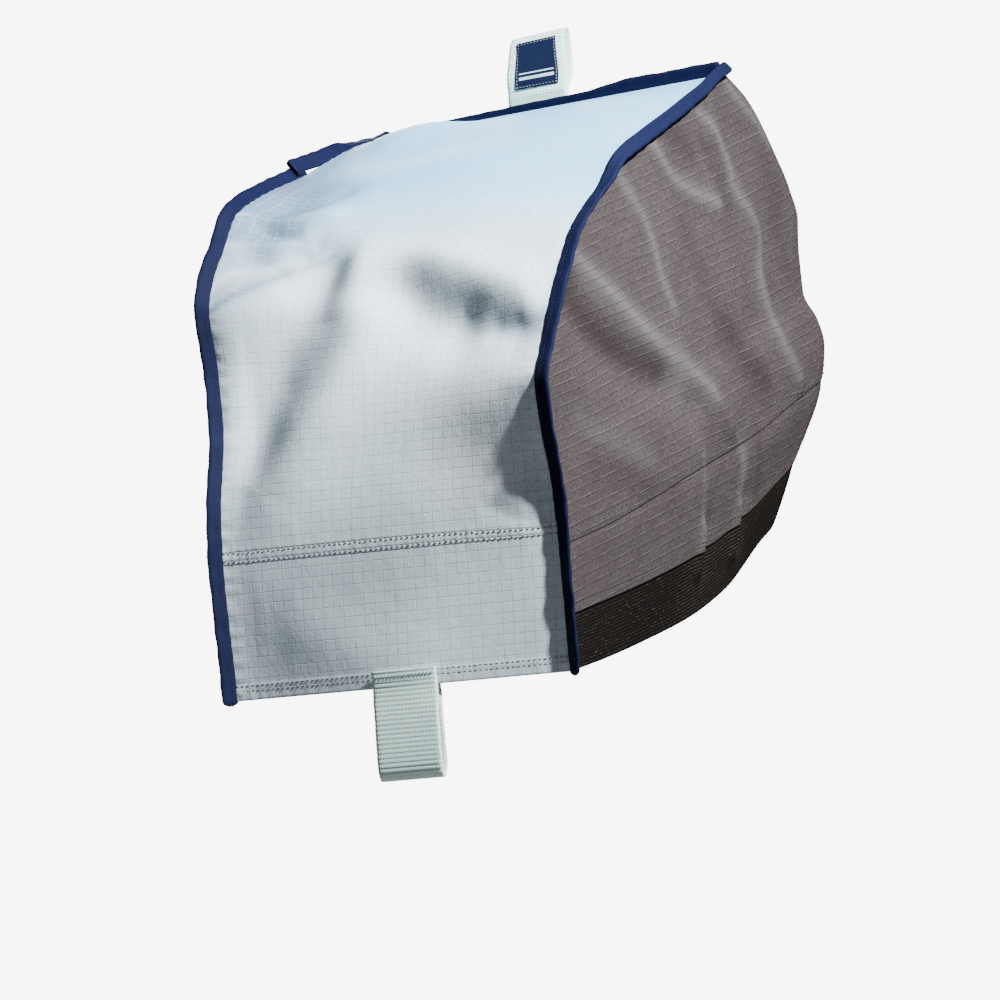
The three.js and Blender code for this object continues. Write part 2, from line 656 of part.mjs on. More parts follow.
// The wrap, in two cuts and a band, each lapped over the one below
const wrapAt = (place, mark) => wrapPoint(place, levelAt(place, mark));
const round = [
  ...evenly(-1, -KNEE_SHARE, 6),
  ...evenly(-KNEE_SHARE, -CORNER_SHARE, 14).slice(1),
  ...evenly(-CORNER_SHARE, -FRONT_SHARE, 7).slice(1),
  ...evenly(-FRONT_SHARE, FRONT_SHARE, 6).slice(1),
  ...evenly(FRONT_SHARE, CORNER_SHARE, 7).slice(1),
  ...evenly(CORNER_SHARE, KNEE_SHARE, 14).slice(1),
  ...evenly(KNEE_SHARE, 1, 6).slice(1),
];
const bandLap = 0.85;
const seamLap = 1.82;
add('side_wrap', 'darkCloth', sheet(
  wrapAt, round, [seamLap, ...evenly(2, 3, WRAP_ROWS)], CLOTH,
  (mark) => lapLift * (1 - smooth(mark, 2, 2.05)), 1, steadyNormal,
));
add('side_skirt', 'darkCloth', sheet(
  wrapAt, round, [bandLap, ...evenly(1, seamLap, 3), 2], CLOTH, () => 0, 1, steadyNormal,
));
add('elastic_band', 'elastic', sheet(
  wrapAt, round, [...evenly(0, bandLap, 3), 1], BAND_THICKNESS, () => -lapLift, 1, steadyNormal,
));

add('binding_near', 'binding', sideBinding(1, NEAR_BINDING_PAST));
add('binding_far', 'binding', sideBinding(-1, FAR_BINDING_PAST));
add('binding_front', 'binding', frontBinding());
add('rear_loop', 'webbing', rearLoop());
add('top_loop', 'webbing', topLoop());
add('loop_label', 'label', label());

cover.position.copy(CARRIED_AT).negate();

const group = new THREE.Group();
group.add(cover);
export default group;
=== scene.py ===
import math

import bmesh
import bpy
import numpy as np
from mathutils import Matrix, Vector


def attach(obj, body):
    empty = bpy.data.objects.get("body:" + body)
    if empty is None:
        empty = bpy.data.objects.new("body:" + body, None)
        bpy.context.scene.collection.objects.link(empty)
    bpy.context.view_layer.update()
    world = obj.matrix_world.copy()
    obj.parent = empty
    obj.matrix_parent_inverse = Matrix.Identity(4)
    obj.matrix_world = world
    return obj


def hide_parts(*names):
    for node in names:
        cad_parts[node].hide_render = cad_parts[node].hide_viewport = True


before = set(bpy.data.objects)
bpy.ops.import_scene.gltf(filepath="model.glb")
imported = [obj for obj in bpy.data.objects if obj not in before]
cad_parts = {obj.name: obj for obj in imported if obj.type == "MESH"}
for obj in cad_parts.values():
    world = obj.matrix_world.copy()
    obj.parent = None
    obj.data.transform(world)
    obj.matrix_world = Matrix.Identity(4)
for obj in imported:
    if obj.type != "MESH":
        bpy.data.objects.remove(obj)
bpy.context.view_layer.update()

# The cover is laid out in millimetres, with X across, Y from the back to the front and Z up.
# CARRIED_AT is the point where the cover is held up, which is the frame's origin.
CARRIED_AT = np.array([0.0, 240.0, 366.0])
MILLIMETRE = 0.001

HALF_WIDTH = 121.5
STRIP_LENGTH = 610.0
SEAM_HEIGHT = 99.0
SEAM_LAP = 9.1
HEM_DEPTH = 12.0
CLOTH = 0.6
EDGE_SETBACK = 1.2
KNEE = 262.0
FRONT_SHARE = 0.14
CORNER_SHARE = 0.38
FAR_FOLD_SHARE = 0.7
EDGE_FADE = 16.0
SEAM_ROWS_MIDDLE = 94.7
FRONT_GATHERS = 5
FRONT_GATHER_DEPTH = 3.0
WARP_SQUARE = 7.4 * MILLIMETRE
WEFT_SQUARE = 7.0 * MILLIMETRE
RIP_WIDTH = 0.45 * MILLIMETRE
RIP_STEP = 0.95 * MILLIMETRE
GRAIN_RISE = math.radians(9.3)
SIDE_FADE_RATE = 900.0
PALE_STITCH = 3.8
TAUPE_STITCH = 3.0
BAND_WIDTH = 40.0
BAND_THICKNESS = 1.2
BAND_RIB = 2.05
BAND_RIB_DEPTH = 0.22
WEBBING_THICKNESS = 1.3
WEBBING_RIB = 3.1
WEBBING_RIB_DEPTH = 0.13
TAPE_HEIGHT = 8.8
FLOOR_RADIUS = 1.5
FLOOR_MIDDLE_Y = 0.1
FLOOR_HEIGHT = -1.15
FLOOR_SIDES = 96


class Table:
    """Rows of a named table, read smoothly and without overshoot between them."""

    def __init__(self, columns, rows):
        self.columns = columns
        self.rows = np.array(rows, float)
        self.keys = self.rows[:, 0]
        slope = np.diff(self.rows, axis=0) / np.diff(self.keys)[:, None]
        tangent = np.zeros_like(self.rows)
        tangent[0], tangent[-1] = slope[0], slope[-1]
        before, after = slope[:-1], slope[1:]
        total = np.where(before + after == 0, 1, before + after)
        tangent[1:-1] = np.where(before * after <= 0, 0, 2 * before * after / total)
        self.tangent = tangent

    def __call__(self, key):
        key = np.asarray(key, float)
        low = np.clip(np.searchsorted(self.keys, key) - 1, 0, len(self.keys) - 2)
        span = self.keys[low + 1] - self.keys[low]
        part = np.clip((key - self.keys[low]) / span, 0, 1)[..., None]
        span = span[..., None]
        square, cube = part**2, part**3
        value = (self.rows[low] * (2 * cube - 3 * square + 1)
                 + self.rows[low + 1] * (3 * square - 2 * cube)
                 + span * self.tangent[low] * (cube - 2 * square + part)
                 + span * self.tangent[low + 1] * (cube - square))
        return {name: value[..., column] for column, name in enumerate(self.columns)}


# The strip's two sewn edges as they hang, by the distance up the strip from its hem
EDGE = Table(["along", "near_y", "near_z", "far_y", "far_z", "far_out"], [
    [-10, 1, -10, 4, -12, 2], [0, 1, 0, 4, -2, 2], [80, 1, 80, 2, 78, 3], [120, -1, 120, 5, 118, 3],
    [164, -11, 162, 18, 160, 3.2], [190, -14, 188, 26, 185, 5], [222, 3, 216, 29, 217, 7],
    [260, 26, 248, 24, 254, 7.6], [288, 45, 269, 36, 278, 7.4], [316, 65, 288, 56, 298, 7],
    [344, 91, 303, 75, 318, 6.5], [372, 116, 315, 101, 327, 6], [412, 149, 336, 141, 335, 6],
    [462, 195, 350, 190, 343, 6], [510, 240, 362, 237, 354, 6], [558, 286, 375, 284, 363, 5],
    [610, 342, 388, 336, 368, 1], [625, 356, 392, 350, 371, 1],
])

# Which way the binding stands along each edge, sideways and along the cloth's outward normal,
# and the near binding's share of the full height
LEAN = Table(["along", "near_sideways", "near_normal", "far_sideways", "far_normal", "near_height"], [
    [0, 1, 0.75, 1, 1, 1], [60, 1, 0.7, 1, 1, 1], [85, 1, 0.6, 1, 1, 1], [105, 1, 0.5, 1, 1, 1],
    [125, 1, 0.45, 1, 1, 1], [160, 1, 0.4, 1, 1, 1], [200, 1, 0.35, 1, 1, 1], [250, 1, 0.25, 1, 1, 1],
    [330, 1, 0.2, 1, 1, 0.9], [365, 1, 0.1, 1, 0.8, 0.78], [395, 0.95, -0.2, 1, 0.9, 0.85],
    [430, 0.65, -0.75, 1, 1, 0.88], [470, 0.55, -0.85, 0.7, 1.1, 0.88], [530, 0.55, -0.85, 0.8, 0.7, 0.8],
    [560, 0.6, -0.8, 1, 0.1, 0.74], [590, 0.65, -0.8, 1, 0.1, 0.7], [618, 0.65, -0.8, 1, 0.5, 0.7],
])

# The front of the wrap, by the drop below its top corner
FRONT = Table(["drop", "front_y", "half_width", "corner_radius"], [
    [0, 345, 121.5, 3.3], [14, 385, 121.5, 16], [29, 412, 122, 25], [53, 442, 124, 38], [78, 466, 126, 48],
    [100, 481, 126, 55], [125, 479, 127, 60], [150, 478, 128, 60], [168, 489, 132, 60], [184, 495, 133, 60],
    [210, 489, 131, 60], [226, 481, 129, 60], [243, 468, 125, 58], [260, 453, 121, 55], [280, 440, 117, 52],
    [300, 424, 113, 48], [316, 408, 110, 44],
])

# Heights round the wrap, from its rear edge (0) to the front corner (1) and the middle of the front (1.4)
LEVELS = Table(["round", "hem", "band_top", "seam"], [
    [0, 2, 41, 88], [0.2, 8, 50, 101], [0.4, 16, 60, 119], [0.6, 26, 73, 139],
    [0.8, 43, 94, 158], [1, 74, 122, 185], [1.15, 92, 146, 192], [1.4, 98, 152, 198],
])

# Folds of the strip: height of a ridge (plus) or trough (minus), half width, how crisp it is, and its line
STRIP_FOLDS = [
    (-14, 64, 2, [(-35, 299), (-14, 257), (11, 209)]),
    (5.5, 80, 2, [(-12, 76), (-12, 8)]),
    (5, 50, 2, [(8, 200), (20, 165), (26, 130)]),
    (2.6, 36, 2, [(80, 196), (84, 160), (86, 125)]),
    (11, 25, 1.9, [(-29, 306), (-23, 272), (-18, 248), (-26, 219), (-42, 195), (-58, 177), (-76, 157),
                   (-92, 137)]),
    (-9.5, 25, 1.9, [(-46, 301), (-57, 268), (-71, 239), (-81, 207), (-88, 187), (-93, 160),
                     (-98, 137)]),
    (7, 18, 1.9, [(-19, 298), (8, 304), (40, 294), (70, 279), (100, 263), (107, 259)]),
    (-8.5, 24, 2, [(0, 278), (22, 256), (48, 244)]),
    (-3, 26, 2, [(66, 240), (92, 238)]),
    (-3.5, 10, 1.8, [(84, 237), (102, 236), (120, 236)]),
    (6, 60, 2, [(10, 430), (36, 470), (40, 520)]),
    (7, 30, 2, [(-80, 540), (-80, 568)]),
    (-4, 9, 1.8, [(-119, 338), (-97, 336), (-65, 328)]),
    (4, 8, 1.8, [(-119, 319), (-96, 321), (-71, 331)]),
    (-3.5, 7, 1.8, [(-119, 299), (-99, 305), (-71, 317)]),
    (4, 9, 1.8, [(-118, 280), (-103, 291), (-83, 309)]),
    (-1.5, 6, 1.8, [(-116, 262), (-98, 280), (-80, 297)]),
    (3, 9, 1.8, [(-119, 352), (-90, 350), (-60, 356)]),
    (-4, 14, 2, [(-112, 376), (-86, 382), (-66, 392)]),
    (-0.5, 7, 2, [(77, 111), (91, 104), (111, 100)]),
    (-1.2, 30, 2, [(-126, 70), (-114, 40), (-103, 0)]),
    (1.2, 22, 2, [(-61, 42), (-25, 24), (13, 16)]),
    (-5, 30, 2, [(-92, 400), (-100, 360), (-104, 320)]),
]

# Folds of the near side of the wrap, as (forward, up) lines
SIDE_FOLDS = [
    (4, 12, 1.8, [(60, 268), (107, 244), (170, 212), (226, 188), (272, 152)]),
    (-5, 17, 2, [(42, 240), (84, 212), (131, 196), (178, 180), (215, 166)]),
    (1.5, 13, 2, [(165, 305), (193, 254), (220, 210)]),
    (-2.5, 22, 2, [(250, 320), (275, 260), (310, 200), (320, 170)]),
    (3, 13, 1.8, [(312, 345), (350, 295), (357, 254), (366, 223), (399, 178)]),
    (1.6, 11, 2, [(205, 344), (233, 323), (269, 309), (304, 301)]),
    (2, 15, 2, [(45, 188), (72, 162), (108, 143), (138, 126)]),
    (3.5, 6, 2, [(237, 84), (234, 56)]),
    (-2.5, 8, 2, [(248, 88), (246, 58)]),
    (3.5, 7, 2, [(301, 96), (297, 66)]),
    (-3, 8, 2, [(312, 104), (309, 72)]),
]

# Painted highlight (plus) and painted shade (minus) on the cloth, where light and shade fall on its folds and
# creases: strength, half width, crispness, line
STRIP_PAINTED_SHADING = [
    (0.8, 34, 2, [(46, 205), (64, 178), (66, 140)]),
    (-0.6, 10, 2, [(62, 243), (84, 239), (102, 237), (120, 237)]),
    (0.5, 5, 1.5, [(-121, 280), (-110, 290), (-97, 303)]),
    (0.8, 6, 1.5, [(-122, 318), (-112, 318)]),
    (0.8, 7, 1.5, [(-122, 346), (-112, 350)]),
    (-0.2, 8, 2, [(-100, 333), (-78, 340)]),
    (-0.7, 29, 2, [(-116, 560), (-114, 480), (-105, 400), (-102, 350), (-108, 300), (-114, 275)]),
    (-0.2, 9, 2, [(-92, 352), (-86, 372), (-84, 416)]),
    (-0.3, 7, 2, [(-45, 322), (-41, 290), (-43, 256)]),
    (-0.5, 7, 2, [(-118, 440), (-113, 420), (-106, 405)]),
    (-0.35, 3, 1.6, [(-118, 262), (-98, 281), (-74, 302), (-48, 316)]),
    (-0.25, 2.5, 1.6, [(77, 111), (91, 104), (111, 100)]),
]
# On the wrap: painted sheen highlights along the crests and painted shade in the hollows between them
SIDE_PAINTED_SHADING = [
    (0.6, 7, 1.5, [(61, 267), (101, 248), (143, 226), (186, 203), (219, 191), (251, 173)]),
    (0.3, 16, 2, [(70, 250), (115, 228), (160, 208), (205, 186)]),
    (0.65, 5, 1.4, [(205, 344), (233, 323), (269, 309), (304, 301)]),
    (0.6, 5, 1.4, [(290, 363), (309, 353), (323, 332), (333, 308), (361, 285), (361, 269), (355, 254),
                   (361, 230), (374, 203), (394, 181)]),
    (0.6, 4.5, 1.4, [(340, 383), (368, 367), (389, 355), (404, 338)]),
    (0.5, 6, 1.6, [(147, 323), (166, 305), (181, 291), (189, 272), (196, 253), (210, 234)]),
    (-0.3, 18, 2, [(395, 330), (402, 290), (412, 250)]),
    (-0.4, 15, 2, [(285, 215), (300, 196), (330, 175)]),
    (-0.8, 12, 2, [(30, 258), (66, 233), (104, 213), (141, 199), (176, 190)]),
    (-0.6, 11, 2, [(300, 220), (318, 200), (345, 180)]),
    (-0.5, 9, 2, [(224, 354), (250, 347), (272, 335)]),
    (-0.4, 8, 2, [(293, 343), (306, 323), (318, 300)]),
    (-0.3, 14, 2, [(240, 290), (262, 262), (275, 235)]),
    (-0.35, 12, 2, [(60, 130), (120, 118), (180, 112)]),
    (0.22, 10, 2, [(43, 163), (88, 145), (150, 126)]),
    (0.3, 3, 1.4, [(231, 134), (234, 110), (234, 77)]),
    (0.3, 3, 1.4, [(287, 148), (298, 130), (309, 107)]),
    (-0.4, 6, 2, [(322, 150), (330, 128), (332, 108)]),
    (0.3, 8, 2, [(300, 130), (306, 100)]),
]


def mix(low, high, share):
    return low + (high - low) * share


def smooth(value, low, high):
    share = np.clip((np.asarray(value, float) - low) / (high - low), 0, 1)
    return share * share * (3 - 2 * share)


def in_frame(points):
    """Millimetres on the cover, as metres in the frame."""
    return (np.asarray(points, float) - CARRIED_AT) * MILLIMETRE


def rounded_line(points, steps=6):
    """A rounded line through a few points."""
    points = np.array(points, float)
    padded = np.vstack([2 * points[0] - points[1], points, 2 * points[-1] - points[-2]])
    line = []
    for before, start, end, after in zip(padded, padded[1:], padded[2:], padded[3:]):
        for part in np.linspace(0, 1, steps, endpoint=False):
            line.append(0.5 * (2 * start + (end - before) * part
                               + (2 * before - 5 * start + 4 * end - after) * part**2
                               + (3 * start - before - 3 * end + after) * part**3))
    return line + [points[-1]]


def fold_height(folds, first, second):
    total = np.zeros(np.broadcast(first, second).shape)
    for height, reach, crisp, line in folds:
        nearest = np.full(total.shape, 1e9)
        line = rounded_line(line)
        for (ax, ay), (bx, by) in zip(line, line[1:]):
            length = (bx - ax)**2 + (by - ay)**2
            part = np.clip(((first - ax) * (bx - ax) + (second - ay) * (by - ay)) / length, 0, 1)
            nearest = np.minimum(nearest, np.hypot(first - mix(ax, bx, part), second - mix(ay, by, part)))
        total += height * np.exp(-(nearest / reach)**crisp)
    return total


def waves(seed, *lengths):
    """A smooth random wobble along a line, as a function of distance, about one high."""
    random = np.random.default_rng(seed)
    parts = [(2 * math.pi / length, random.uniform(0, 2 * math.pi)) for length in lengths]
    return lambda run: sum(np.sin(run * rate + phase) for rate, phase in parts) / math.sqrt(len(parts))


# The cloth's two surfaces

def edge_at(side, along):
    """A sewn edge (1 near, -1 far): its point, how far it stands out, and the outward normal in Y and Z."""
    side = np.asarray(side, float)
    along = np.asarray(along, float)

    def pick(row):
        near = side > 0
        return (np.where(near, row["near_y"], row["far_y"]), np.where(near, row["near_z"], row["far_z"]),
                np.where(near, 0.0, row["far_out"]))

    y, z, out = pick(EDGE(along))
    y_before, z_before, _ = pick(EDGE(along - 4))
    y_after, z_after, _ = pick(EDGE(along + 4))
    length = np.hypot(y_after - y_before, z_after - z_before)
    return side * (HALF_WIDTH + out), y, z, out, -(z_after - z_before) / length, (y_after - y_before) / length


def strip_point(across, along):
    across, along = np.broadcast_arrays(np.asarray(across, float), np.asarray(along, float))
    sewn = [edge_at(1, along), edge_at(-1, along)]
    room = np.clip(np.minimum(along + 6, STRIP_LENGTH + 6 - along) / 20, 0, 1)
    spread = [[edge_at(side, along + step * room) for step in (-20, -12, -4, 4, 12, 20)] for side in (1, -1)]
    eased = [[sum(sample[k] for sample in samples) / 6 for k in range(6)] for samples in spread]
    inside = smooth(HALF_WIDTH - abs(across), 0, 45)
    near, far = ([mix(sewn[k][i], eased[k][i], inside) for i in range(6)] for k in range(2))
    share = (across + HALF_WIDTH) / (2 * HALF_WIDTH)
    raised = (fold_height(STRIP_FOLDS, across, along) * smooth(HALF_WIDTH - abs(across), 0, EDGE_FADE * 1.6)
              * smooth(STRIP_LENGTH - along, 0, 2 * EDGE_FADE))
    return np.stack([mix(far[0], near[0], share),
                     mix(far[1], near[1], share) + mix(far[4], near[4], share) * raised,
                     mix(far[2], near[2], share) + mix(far[5], near[5], share) * raised], -1)


def tip_of(side):
    edge = edge_at(side, np.full(np.shape(side), STRIP_LENGTH))
    return edge[1] - EDGE_SETBACK * edge[4], edge[2] - EDGE_SETBACK * edge[5]


def front_at(side, height, level):
    tip_y, tip_z = tip_of(side)
    drop = np.maximum(tip_z - height, 0)
    row = FRONT(np.minimum(drop, FRONT.keys[-1]))
    shift = (tip_y - tip_of(np.ones_like(side))[0]) * (1 - smooth(drop, 0, 100))
    half_width = HALF_WIDTH + (row["half_width"] - HALF_WIDTH) * (1 - level**6)
    return row["front_y"] + shift, half_width, row["corner_radius"]


def wrap_column(place):
    side = np.where(place < 0, 1.0, -1.0)
    from_front = abs(place)
    forward = np.clip((1 - from_front) / (1 - CORNER_SHARE), 0, 1)
    corner = np.clip((CORNER_SHARE - from_front) / (CORNER_SHARE - FRONT_SHARE), 0, 1)
    across_front = np.clip(from_front / FRONT_SHARE, 0, 1)
    turn = np.where(forward < 1, forward, 1 + 0.4 * (1 - from_front / CORNER_SHARE))
    return side, forward, corner, across_front, turn


def side_of_wrap(side, forward, level, hem):
    def set_back(along):
        edge = edge_at(side, along)
        return edge[1] - EDGE_SETBACK * edge[4], edge[2] - EDGE_SETBACK * edge[5], edge[3]

    top_y, top_z, top_out = set_back(mix(KNEE, STRIP_LENGTH, forward))
    rear_y, rear_z, rear_out = set_back(level * KNEE)
    low_y, _, _ = set_back(np.zeros_like(level))
    knee_y, knee_z, knee_out = set_back(np.full_like(level, KNEE))
    behind = (1 - forward)**2
    z = mix(hem, top_z, level) + behind * (rear_z - mix(LEVELS(0)["hem"], knee_z, level))
    corner_hem = LEVELS(1)["hem"]
    hem_front, _, hem_radius = front_at(side, np.full_like(level, corner_hem), np.zeros_like(level))
    hem_y = mix(low_y, hem_front - hem_radius, forward)
    tip_y, tip_z = tip_of(side)
    corner_front, corner_half, corner_radius = front_at(side, mix(corner_hem, tip_z, level), level)
    straight = mix(hem_front - hem_radius, tip_y, level)
    y = (mix(hem_y, top_y, level) + behind * (rear_y - mix(low_y, knee_y, level))
         + forward**2 * (corner_front - corner_radius - straight))
    fade = (smooth(forward * (1 - forward) * SIDE_FADE_RATE, 0, 2 * EDGE_FADE)
            * smooth((1 - level) * (top_z - hem), 0, EDGE_FADE))
    fullness = (corner_half - HALF_WIDTH) * np.sin(forward * math.pi / 2)
    raised = (fold_height(SIDE_FOLDS, y, z) * np.where(side > 0, 1, FAR_FOLD_SHARE)
              * np.minimum(fade, smooth(forward, 0.015, 0.1)))
    stand_out = top_out * level + behind * (rear_out - knee_out * level)
    return np.stack([side * (HALF_WIDTH + stand_out + fullness + raised), y, z], -1)


def front_of_wrap(side, corner, across_front, level, hem):
    near, far = np.ones_like(side), -np.ones_like(side)
    share = (side * across_front + 1) / 2
    near_tip, far_tip = tip_of(near)[1], tip_of(far)[1]
    z = mix(hem, mix(far_tip, near_tip, share), level)
    at_near = front_at(near, mix(hem, near_tip, level), level)
    at_far = front_at(far, mix(hem, far_tip, level), level)
    front_y, half_width, radius = (mix(at_far[k], at_near[k], share) for k in range(3))
    angle = corner * math.pi / 2
    flat = half_width - radius
    x = side * np.where(corner < 1, flat + radius * np.cos(angle), flat * across_front)
    gather = (FRONT_GATHER_DEPTH * (1 - smooth(level, 0.05, 0.45)) * np.sin(angle)
              * np.cos(FRONT_GATHERS * math.pi * x / HALF_WIDTH))
    return np.stack([x, front_y - radius + (radius - gather) * np.sin(angle), z], -1)


def wrap_point(place, mark):
    """A point of the wrap. place: -1 near rear edge, 0 middle of the front, 1 far rear edge.
    mark: 0 hem, 1 top of the band, 2 seam, 3 top edge."""
    place, mark = np.broadcast_arrays(np.asarray(place, float), np.asarray(mark, float))
    side, forward, corner, across_front, turn = wrap_column(place)
    heights = LEVELS(turn)
    near, far = np.ones_like(side), -np.ones_like(side)
    top = np.where(forward < 1, edge_at(side, mix(KNEE, STRIP_LENGTH, forward))[2],
                   mix(tip_of(far)[1], tip_of(near)[1], (side * across_front + 1) / 2))
    levels = [np.zeros_like(top), (heights["band_top"] - heights["hem"]) / (top - heights["hem"]),
              (heights["seam"] - heights["hem"]) / (top - heights["hem"]), np.ones_like(top)]
    low = np.minimum(np.floor(mark), 2).astype(int)
    level = mix(np.choose(low, levels[:3]), np.choose(low, levels[1:]), mark - low)
    return np.where((forward < 1)[..., None], side_of_wrap(side, forward, level, heights["hem"]),
                    front_of_wrap(side, corner, across_front, level, heights["hem"]))


def normals_of(grid):
    """Outward normals of a grid whose columns run to the right and rows run up, seen from outside."""
    along_columns = np.gradient(grid, axis=1)
    along_rows = np.gradient(grid, axis=0)
    normal = np.cross(along_columns, along_rows)
    return normal / (np.linalg.norm(normal, axis=-1, keepdims=True) + 1e-9)


def spaced(*stops):
    """Values between stops, each given as (value, step to the next)."""
    values = []
    for (start, step), (end, _) in zip(stops, stops[1:]):
        count = max(1, int(math.ceil(abs(end - start) / step)))
        values.extend(np.linspace(start, end, count, endpoint=False))
    return np.array(values + [stops[-1][0]])


# Meshes

def mesh_object(name, points, faces, maps):
    mesh = bpy.data.meshes.new(name)
    mesh.from_pydata(in_frame(points).reshape(-1, 3).tolist(), [], faces)
    for label, values in maps.items():
        values = np.asarray(values, float) * MILLIMETRE
        layer = mesh.uv_layers.new(name=label)
        corners = np.zeros(len(mesh.loops), int)
        mesh.loops.foreach_get("vertex_index", corners)
        layer.data.foreach_set("uv", values.reshape(-1, 2)[corners].ravel())
    mesh.polygons.foreach_set("use_smooth", [True] * len(mesh.polygons))
    mesh.update()
    piece = bpy.data.objects.new(name, mesh)
    bpy.context.collection.objects.link(piece)
    return piece


def grid_faces(rows, columns, closed=False):
    index = np.arange(rows * columns).reshape(rows, columns)
    if closed:
        index = np.concatenate([index, index[:, :1]], axis=1)
    a, b, c, d = index[:-1, :-1], index[:-1, 1:], index[1:, 1:], index[1:, :-1]
    return np.stack([a, b, c, d], -1).reshape(-1, 4).tolist()


def end_faces(rows, sides):
    """The two faces that close the ends of a tube of rings."""
    return [list(range(sides)), [(rows - 1) * sides + j for j in reversed(range(sides))]]


def settle(piece):
    """Turns a piece with its modifiers into a plain mesh."""
    bpy.context.view_layer.update()
    evaluated = piece.evaluated_get(bpy.context.evaluated_depsgraph_get())
    mesh = bpy.data.meshes.new_from_object(evaluated)
    piece.modifiers.clear()
    old = piece.data
    piece.data = mesh
    bpy.data.meshes.remove(old)
    mesh.name = piece.name
    return piece


def cloth_sheet(name, grid, maps, thickness=CLOTH):
    """A sheet of cloth whose outer face is the grid."""
    rows, columns = grid.shape[:2]
    piece = mesh_object(name, grid, grid_faces(rows, columns), maps)
    wall = piece.modifiers.new("cloth", "SOLIDIFY")
    wall.thickness = thickness * MILLIMETRE
    wall.offset = -1
    return settle(piece)


# Repeated work: ribs and stitches

class Tree:
    """A small helper that builds a geometry tree with named inputs."""

    def __init__(self, name, inputs):
        self.tree = bpy.data.node_groups.new(name, "GeometryNodeTree")
        interface = self.tree.interface
        interface.new_socket("Geometry", in_out="INPUT", socket_type="NodeSocketGeometry")
        for label, kind, value in inputs:
            socket = interface.new_socket(label, in_out="INPUT", socket_type=kind)
            if value is not None:
                socket.default_value = value
        interface.new_socket("Geometry", in_out="OUTPUT", socket_type="NodeSocketGeometry")
        self.given = self.tree.nodes.new("NodeGroupInput")
        self.result = self.tree.nodes.new("NodeGroupOutput")

    def node(self, kind, settings=None, **values):
        made = self.tree.nodes.new(kind)
        for key, value in (settings or {}).items():
            setattr(made, key, value)
        for key, value in values.items():
            socket = made.inputs[int(key[1:])] if key[0] == "_" else made.inputs[key]
            if isinstance(value, bpy.types.NodeSocket):
                self.tree.links.new(value, socket)
            else:
                socket.default_value = value
        return made

    def ask(self, label):
        return self.given.outputs[label]

    def finish(self, geometry):
        self.tree.links.new(geometry, self.result.inputs["Geometry"])
        return self.tree


def rib_tree():
    """Raises ribs across a strap or along a band, by the attribute run, in millimetres."""
    tree = Tree("raise_ribs", [("Pitch", "NodeSocketFloat", 3.0), ("Depth", "NodeSocketFloat", 0.0002),
                               ("Cloth", "NodeSocketMaterial", None)])
    run = tree.node("GeometryNodeInputNamedAttribute", {"data_type": "FLOAT"}, Name="run")
    turns = tree.node("ShaderNodeMath", {"operation": "DIVIDE"}, _0=run.outputs[0], _1=tree.ask("Pitch"))
    angle = tree.node("ShaderNodeMath", {"operation": "MULTIPLY"}, _0=turns.outputs[0], _1=2 * math.pi)
    wave = tree.node("ShaderNodeMath", {"operation": "SINE"}, _0=angle.outputs[0])
    lifted = tree.node("ShaderNodeMath", {"operation": "MULTIPLY"}, _0=wave.outputs[0], _1=tree.ask("Depth"))
    normal = tree.node("GeometryNodeInputNormal")
    offset = tree.node("ShaderNodeVectorMath", {"operation": "SCALE"},
                       _0=normal.outputs[0], Scale=lifted.outputs[0])
    moved = tree.node("GeometryNodeSetPosition", Geometry=tree.ask("Geometry"), Offset=offset.outputs[0])
    real = tree.node("GeometryNodeRealizeInstances", Geometry=moved.outputs[0])
    dressed = tree.node("GeometryNodeSetMaterial", Geometry=real.outputs[0], Material=tree.ask("Cloth"))
    return tree.finish(dressed.outputs[0])


def stitch_tree():
    """Lays stitches at even spacing along every line of a mesh of edges."""
    tree = Tree("sew_rows", [("Spacing", "NodeSocketFloat", 0.003), ("Length", "NodeSocketFloat", 0.0022),
                             ("Thread", "NodeSocketFloat", 0.0006), ("Seed", "NodeSocketInt", 4),
                             ("Colour", "NodeSocketMaterial", None)])
    line = tree.node("GeometryNodeMeshToCurve", Mesh=tree.ask("Geometry"))
    places = tree.node("GeometryNodeCurveToPoints", {"mode": "LENGTH"},
                       Curve=line.outputs[0], Length=tree.ask("Spacing"))
    turned = tree.node("FunctionNodeAlignRotationToVector", {"axis": "Z"},
                       Vector=places.outputs["Tangent"])
    stitch = tree.node("GeometryNodeMeshUVSphere", Segments=6, Rings=5, Radius=0.5)
    rounded = tree.node("GeometryNodeSetShadeSmooth", Geometry=stitch.outputs[0])
    vary = tree.node("FunctionNodeRandomValue", {"data_type": "FLOAT"},
                     _2=0.85, _3=1.12, Seed=tree.ask("Seed"))
    long_one = tree.node("ShaderNodeMath", {"operation": "MULTIPLY"},
                         _0=tree.ask("Length"), _1=vary.outputs[1])
    size = tree.node("ShaderNodeCombineXYZ", X=tree.ask("Thread"), Y=tree.ask("Thread"),
                     Z=long_one.outputs[0])
    placed = tree.node("GeometryNodeInstanceOnPoints", Points=places.outputs["Points"],
                       Instance=rounded.outputs[0], Rotation=turned.outputs[0], Scale=size.outputs[0])
    real = tree.node("GeometryNodeRealizeInstances", Geometry=placed.outputs[0])
    dressed = tree.node("GeometryNodeSetMaterial", Geometry=real.outputs[0], Material=tree.ask("Colour"))
    return tree.finish(dressed.outputs[0])


def grow(piece, tree, **values):
    """Runs a geometry tree on a piece with values for its named inputs, and keeps the plain mesh."""
    modifier = piece.modifiers.new(tree.name, "NODES")
    modifier.node_group = tree
    for item in tree.interface.items_tree:
        if item.item_type == "SOCKET" and item.in_out == "INPUT" and item.name in values:
            modifier[item.identifier] = values[item.name]
    return settle(piece)


